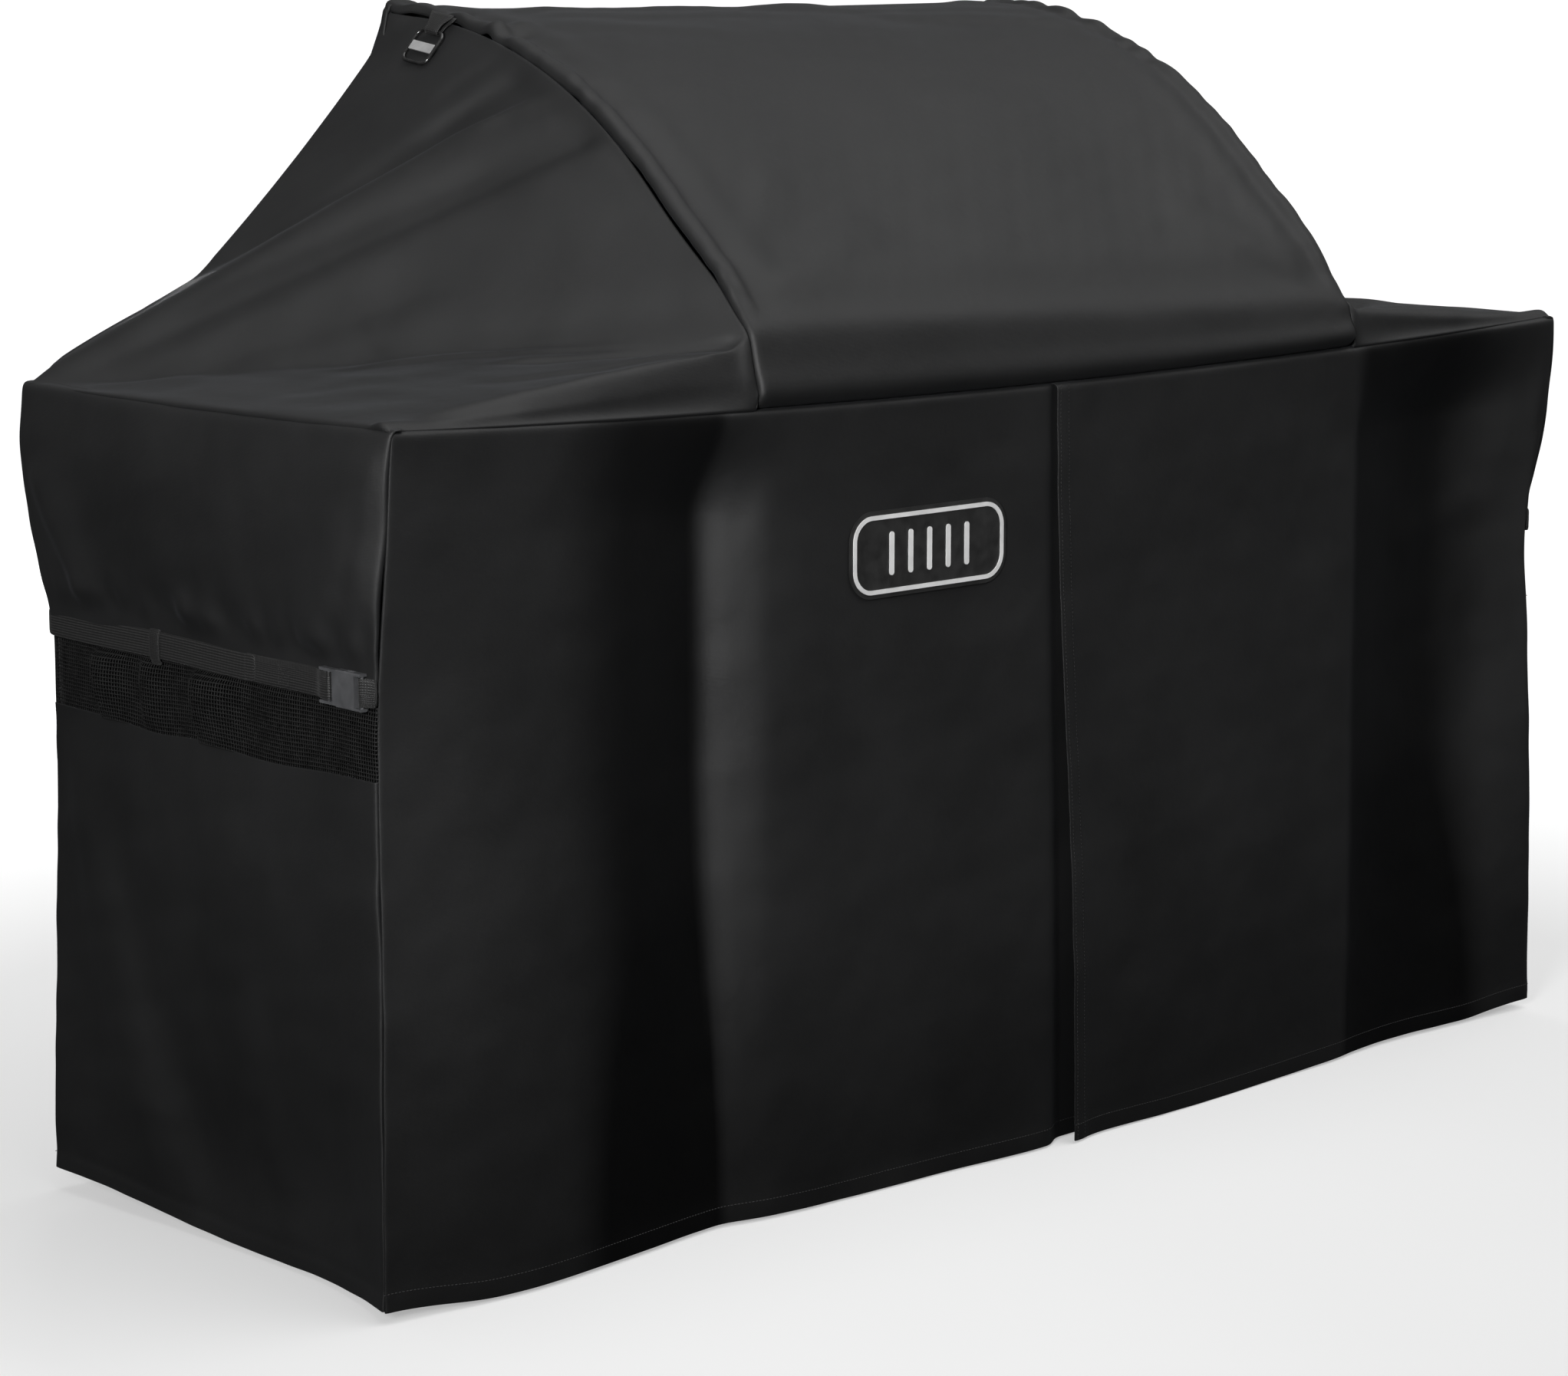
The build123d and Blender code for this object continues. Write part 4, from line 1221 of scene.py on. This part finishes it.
# ------------------------------------------------------------------ straps
def round_bar(bar_y, bar_out, start, end):
    """(Y, outwards) of webbing that turns round a buckle's bar between two angles."""
    turn = np.linspace(start, end, 14)
    reach = BAR_RADIUS + 0.0003 + WEB / 2
    return bar_y + reach * np.cos(turn), bar_out + reach * np.sin(turn)


def strap_pieces(side):
    """Webbing at one end: strap, tail, anchor and keeper loop."""
    word = WORD[side]
    plane = side * END_X
    _, plug_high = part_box(f"{word}_buckle_plug")
    socket_low, socket_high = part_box(f"{word}_buckle_socket")
    middle_out = abs((socket_low.x + socket_high.x) / 2) - END_X
    bar_y = plug_high.y - 0.013
    reach = BAR_RADIUS + 0.0003 + WEB / 2

    def world(run, out, up=None):
        up = np.zeros(len(run)) if up is None else np.array(up)
        return np.stack([plane + side * np.array(out), np.array(run), STRAP_Z + up], axis=1)

    # strap, from the back corner in under the buckle's plug
    run = np.arange(plug_high.y - 0.018, BACK_Y - 0.018, 0.006)
    share = (run - run[0]) / (run[-1] - run[0])
    sway = 0.0012 * np.sin(run * 17) * np.sin(np.pi * share)
    lift = WEB / 2 + 0.0008 * np.sin(np.pi * share) * (1 + np.sin(run * 23))
    path = world(run, lift, sway)
    corner_path = world([BACK_Y - 0.012, BACK_Y - 0.008], [WEB / 2 - 0.002, -0.004])
    path = np.concatenate([path, corner_path])
    out = np.tile([side, 0, 0], (len(path), 1))
    strap = band(f"{word}_strap_web", path, out, WEB_WIDE, WEBBING)
    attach(strap, "cover")
    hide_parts(f"{word}_strap")

    # tail, round the ladder bar and back over the strap to a folded end
    lie = WEB + 0.0004 + WEB / 2
    round_y, round_out = round_bar(bar_y, middle_out, -np.pi / 2, -3 * np.pi / 2)
    tail_run = np.linspace(plug_high.y - 0.004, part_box(f"{word}_strap_tail")[1].y - 0.001, 34)
    fall = 1 - ramp(tail_run, plug_high.y - 0.004, plug_high.y + 0.016)
    tail_out = mix(lie + 0.0004, middle_out + reach - 0.0006, fall)
    tail_out = tail_out + 0.0014 * np.sin(np.pi * ramp(tail_run, plug_high.y + 0.05, tail_run[-1]))
    y_all = np.concatenate([[bar_y + 0.0035], round_y, tail_run])
    out_all = np.concatenate([[middle_out - reach], round_out, tail_out])
    path = world(y_all, out_all)
    along = np.gradient(path, axis=0)
    face = np.cross([0, 0, 1], along) * side
    tail = band(f"{word}_tail_web", path, face, WEB_WIDE - 0.0006, WEBBING)
    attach(tail, f"{word}_plug")
    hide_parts(f"{word}_strap_tail")
    end_y = tail_run[-1]
    hem_run = np.array([end_y - 0.022, end_y - 0.016, end_y - 0.004, end_y - 0.0015])
    hem_out = np.full(4, tail_out[-1] + WEB * 0.95)
    hem_out[0] -= 0.0008
    folded = band(f"{word}_tail_end", world(hem_run, hem_out), np.tile([side, 0, 0], (4, 1)),
                  WEB_WIDE - 0.0010, WEBBING, thickness=WEB * 0.8)
    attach(folded, f"{word}_plug")
    cross_y = plug_high.y + 0.062
    long, tall = 0.018, 0.011
    box_y = cross_y + long * np.array([0, 1, 1, 0, 0, 1, 1, 0])
    box_up = tall * np.array([-1, 1, -1, 1, -1, -1, 1, 1])
    over = lie + WEB * 0.62 + 0.0012
    cross = spaced(world(box_y, [over] * 8, box_up), 0.002)
    lines = [(cross, np.tile([side, 0.0, 0.0], (len(cross), 1)))]
    stitches = stitching(f"{word}_tail_stitches", lines, THREAD)
    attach(stitches, f"{word}_plug")

    # anchor, from the front corner seam round the socket's bar
    bar_y = socket_low.y + 0.002
    root_y = FRONT_Y + 0.0125
    round_y, round_out = round_bar(bar_y, middle_out, -np.pi / 2, np.pi / 2)
    y_all = np.concatenate([[root_y, root_y + 0.004], round_y, [root_y + 0.004, root_y]])
    out_all = np.concatenate([[WEB / 2, WEB / 2 + 0.0002], round_out, [WEB * 1.6, WEB * 1.45]])
    path = world(y_all, out_all)
    along = np.gradient(path, axis=0)
    face = np.cross(along, [0, 0, 1]) * side
    anchor = band(f"{word}_anchor_web", path, face, WEB_WIDE, WEBBING)
    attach(anchor, "cover")
    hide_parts(f"{word}_strap_anchor")

    # keeper loop over the strap
    low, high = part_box(f"{word}_strap_keeper")
    half = WEB_WIDE / 2 + 0.0003 + WEB
    top = WEB + 0.0003 + WEB / 2 + 0.0012
    up = [-half - 0.006, -half - 0.001, -half + 0.0004, -half + 0.0022, 0,
          half - 0.0022, half - 0.0004, half + 0.001, half + 0.006]
    rise = [WEB / 2, WEB / 2 + 0.0002, top * 0.62, top]
    out = [*rise, top + 0.0004, *rise[::-1]]
    path = world([(low.y + high.y) / 2] * len(up), out, up)
    along = np.gradient(path, axis=0)
    face = np.cross(along, [0, 1, 0]) * side
    keeper = band(f"{word}_keeper_web", path, face, high.y - low.y, WEBBING,
                  thickness=WEB * 0.9)
    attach(keeper, "cover")
    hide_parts(f"{word}_strap_keeper")
    for piece in (strap, tail, anchor, keeper, folded):
        subdivide(piece)


# ------------------------------------------------------------------ ring tab
def ring_tab(side):
    """Webbing loop that holds the ring, flared where it is sewn into the seam."""
    word = WORD[side]
    joint = next(j for j in frame["joints"] if j["name"] == f"{word}_ring_swing")
    anchor = np.array(joint["pos_m"], float)
    axis = np.array(joint["axis"], float)
    label_low, label_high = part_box(f"{word}_ring_label")
    towards = (np.array(label_low) + np.array(label_high)) / 2 - anchor
    down = towards - axis * (towards @ axis)
    down /= np.linalg.norm(down)
    out = np.cross(down, axis)
    if out[2] < 0:
        out = -out
    reach = RING_WIRE / 2 + 0.0003 + TAB_THICK / 2
    turn = np.linspace(np.pi / 2, -np.pi / 2, 12)
    back = np.linspace(TAB_ROOT, -0.001, 8)
    path, face = [], []
    for place in back:
        off = mix(reach * 0.6, reach, ramp(place, TAB_ROOT, -0.010))
        path.append(anchor + down * place + out * off)
        face.append(out)
    for angle in turn:
        path.append(anchor + down * reach * np.cos(angle) + out * reach * np.sin(angle))
        face.append(down * np.cos(angle) + out * np.sin(angle))
    for place in back[::-1]:
        path.append(anchor + down * place - out * reach)
        face.append(-out)
    flare = mix(TAB_ROOT_WIDE, TAB_WIDE, ramp(back, TAB_ROOT, -0.006))
    wide = np.concatenate([flare, np.full(len(turn), TAB_WIDE), flare[::-1]])
    piece = band(f"{word}_tab_web", path, face, TAB_WIDE, WEBBING, TAB_THICK, wide)
    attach(piece, "cover")
    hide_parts(f"{word}_ring_tab")


# ------------------------------------------------------------------ hard parts from the CAD
def dress(node, material, bevel):
    piece = frame["nodes"][node]
    piece.data.materials.clear()
    piece.data.materials.append(material)
    if bevel:
        rounded = piece.modifiers.new("edges", "BEVEL")
        rounded.width = bevel
        rounded.segments = 3
        rounded.limit_method = "ANGLE"
        rounded.angle_limit = math.radians(35)
        piece.modifiers.new("normals", "WEIGHTED_NORMAL")


def hard_parts():
    for side in (LEFT, RIGHT):
        word = WORD[side]
        for part in ("socket", "plug", "prong_upper", "prong_lower"):
            dress(f"{word}_buckle_{part}", BUCKLE, 0.0006)
        dress(f"{word}_hang_ring", RING, 0)
        dress(f"{word}_ring_label", LABEL, 0.0004)
    dress("badge_plate", PLATE, 0.0006)
    dress("badge_rim", SILVER, 0.0004)
    dress("badge_bars", SILVER, 0.0004)


# ------------------------------------------------------------------ studio
def studio():
    """Pale floor that curves up into a backdrop all round, soft lights and the camera."""
    floor = ((0.0, 0.0), (4.0, 0.0), (10.0, 0.0), (15.0, 0.0))
    wall = ((15.0, 0.0), (17.0, 0.35), (18.8, 1.6), (19.8, 3.6), (20.0, 7.0))
    stage = (bowl("floor", floor, floor_material()), bowl("backdrop", wall, backdrop_material()))
    for piece in stage:
        piece.visible_diffuse = False
        piece.visible_glossy = False

    studio_sky()
    broad_light("ceiling", (0.34, -0.34, 1.0), 1.80, 66)
    soft_light("back", (2.6, 4.6, 0.9), (0.0, 0.3, 0.65), 1.4, 60, 120)
    soft_light("key", (-4.0, -2.6, 1.9), (0.2, 0, 1.12), 1.0, 33, 66)

    camera = bpy.data.cameras.new("camera")
    camera.lens = CAMERA_LENS
    camera.sensor_width = 36
    camera.clip_end = 100
    eye = bpy.data.objects.new("camera", camera)
    bpy.context.scene.collection.objects.link(eye)
    azimuth, elevation = (math.radians(angle) for angle in CAMERA_ANGLES)
    back = Vector((math.sin(azimuth) * math.cos(elevation), -math.cos(azimuth) * math.cos(elevation),
                   math.sin(elevation)))
    eye.location = CAMERA_PLACE
    eye.rotation_euler = (-back).to_track_quat("-Z", "Y").to_euler()
    bpy.context.scene.camera = eye
    bpy.context.scene.view_settings.view_transform = "Standard"


def bowl(name, section, material, turns=96):
    """A surface of revolution about Z, from (radius, height) points."""
    angle = np.linspace(0, 2 * np.pi, turns, endpoint=False)
    rings = [np.stack([r * np.cos(angle), r * np.sin(angle), np.full(turns, h)], 1) for r, h in section]
    faces = []
    for i in range(len(rings) - 1):
        for j in range(turns):
            a, b = i * turns + j, i * turns + (j + 1) % turns
            faces.append((a, b, b + turns, a + turns))
    mesh = bpy.data.meshes.new(name)
    mesh.from_pydata([tuple(p) for p in np.concatenate(rings)], [], faces)
    mesh.polygons.foreach_set("use_smooth", [True] * len(faces))
    mesh.materials.append(material)
    made = bpy.data.objects.new(name, mesh)
    bpy.context.scene.collection.objects.link(made)
    return made


def studio_sky():
    """Dim surroundings, brighter overhead and dark below."""
    world = bpy.data.worlds.new("studio")
    bpy.context.scene.world = world
    world.use_nodes = True
    tree = world.node_tree
    direction = add(tree, "ShaderNodeTexCoord").outputs["Generated"]
    split = add(tree, "ShaderNodeSeparateXYZ")
    tree.links.new(direction, split.inputs[0])
    up = add(tree, "ShaderNodeMapRange")
    up.inputs["From Min"].default_value = -0.35
    up.inputs["From Max"].default_value = 0.9
    tree.links.new(split.outputs["Z"], up.inputs["Value"])
    colour = graded(tree, up.outputs[0], grey(0.015), grey(0.26), 0.0, 1.0)
    tree.links.new(colour, tree.nodes["Background"].inputs["Color"])


def broad_light(name, direction, power, spread):
    """A distant light of wide angle, which reaches the whole floor evenly."""
    light = bpy.data.lights.new(name, "SUN")
    light.energy = power
    light.angle = math.radians(spread)
    lamp = bpy.data.objects.new(name, light)
    bpy.context.scene.collection.objects.link(lamp)
    lamp.rotation_euler = Vector(direction).to_track_quat("Z", "Y").to_euler()


def soft_light(name, place, target, size, power, spread):
    light = bpy.data.lights.new(name, "AREA")
    light.shape = "SQUARE"
    light.size = size
    light.spread = math.radians(spread)
    light.energy = power
    lamp = bpy.data.objects.new(name, light)
    bpy.context.scene.collection.objects.link(lamp)
    lamp.location = place
    lamp.rotation_euler = (Vector(target) - Vector(place)).to_track_quat("-Z", "Y").to_euler()


# ------------------------------------------------------------------ build
for which in (LEFT, RIGHT):
    front_panel(which)
    end_pieces(which)
    gusset_cloth(which)
    strap_pieces(which)
    ring_tab(which)
back_cloth()
lid_cloth()
hard_parts()
studio()
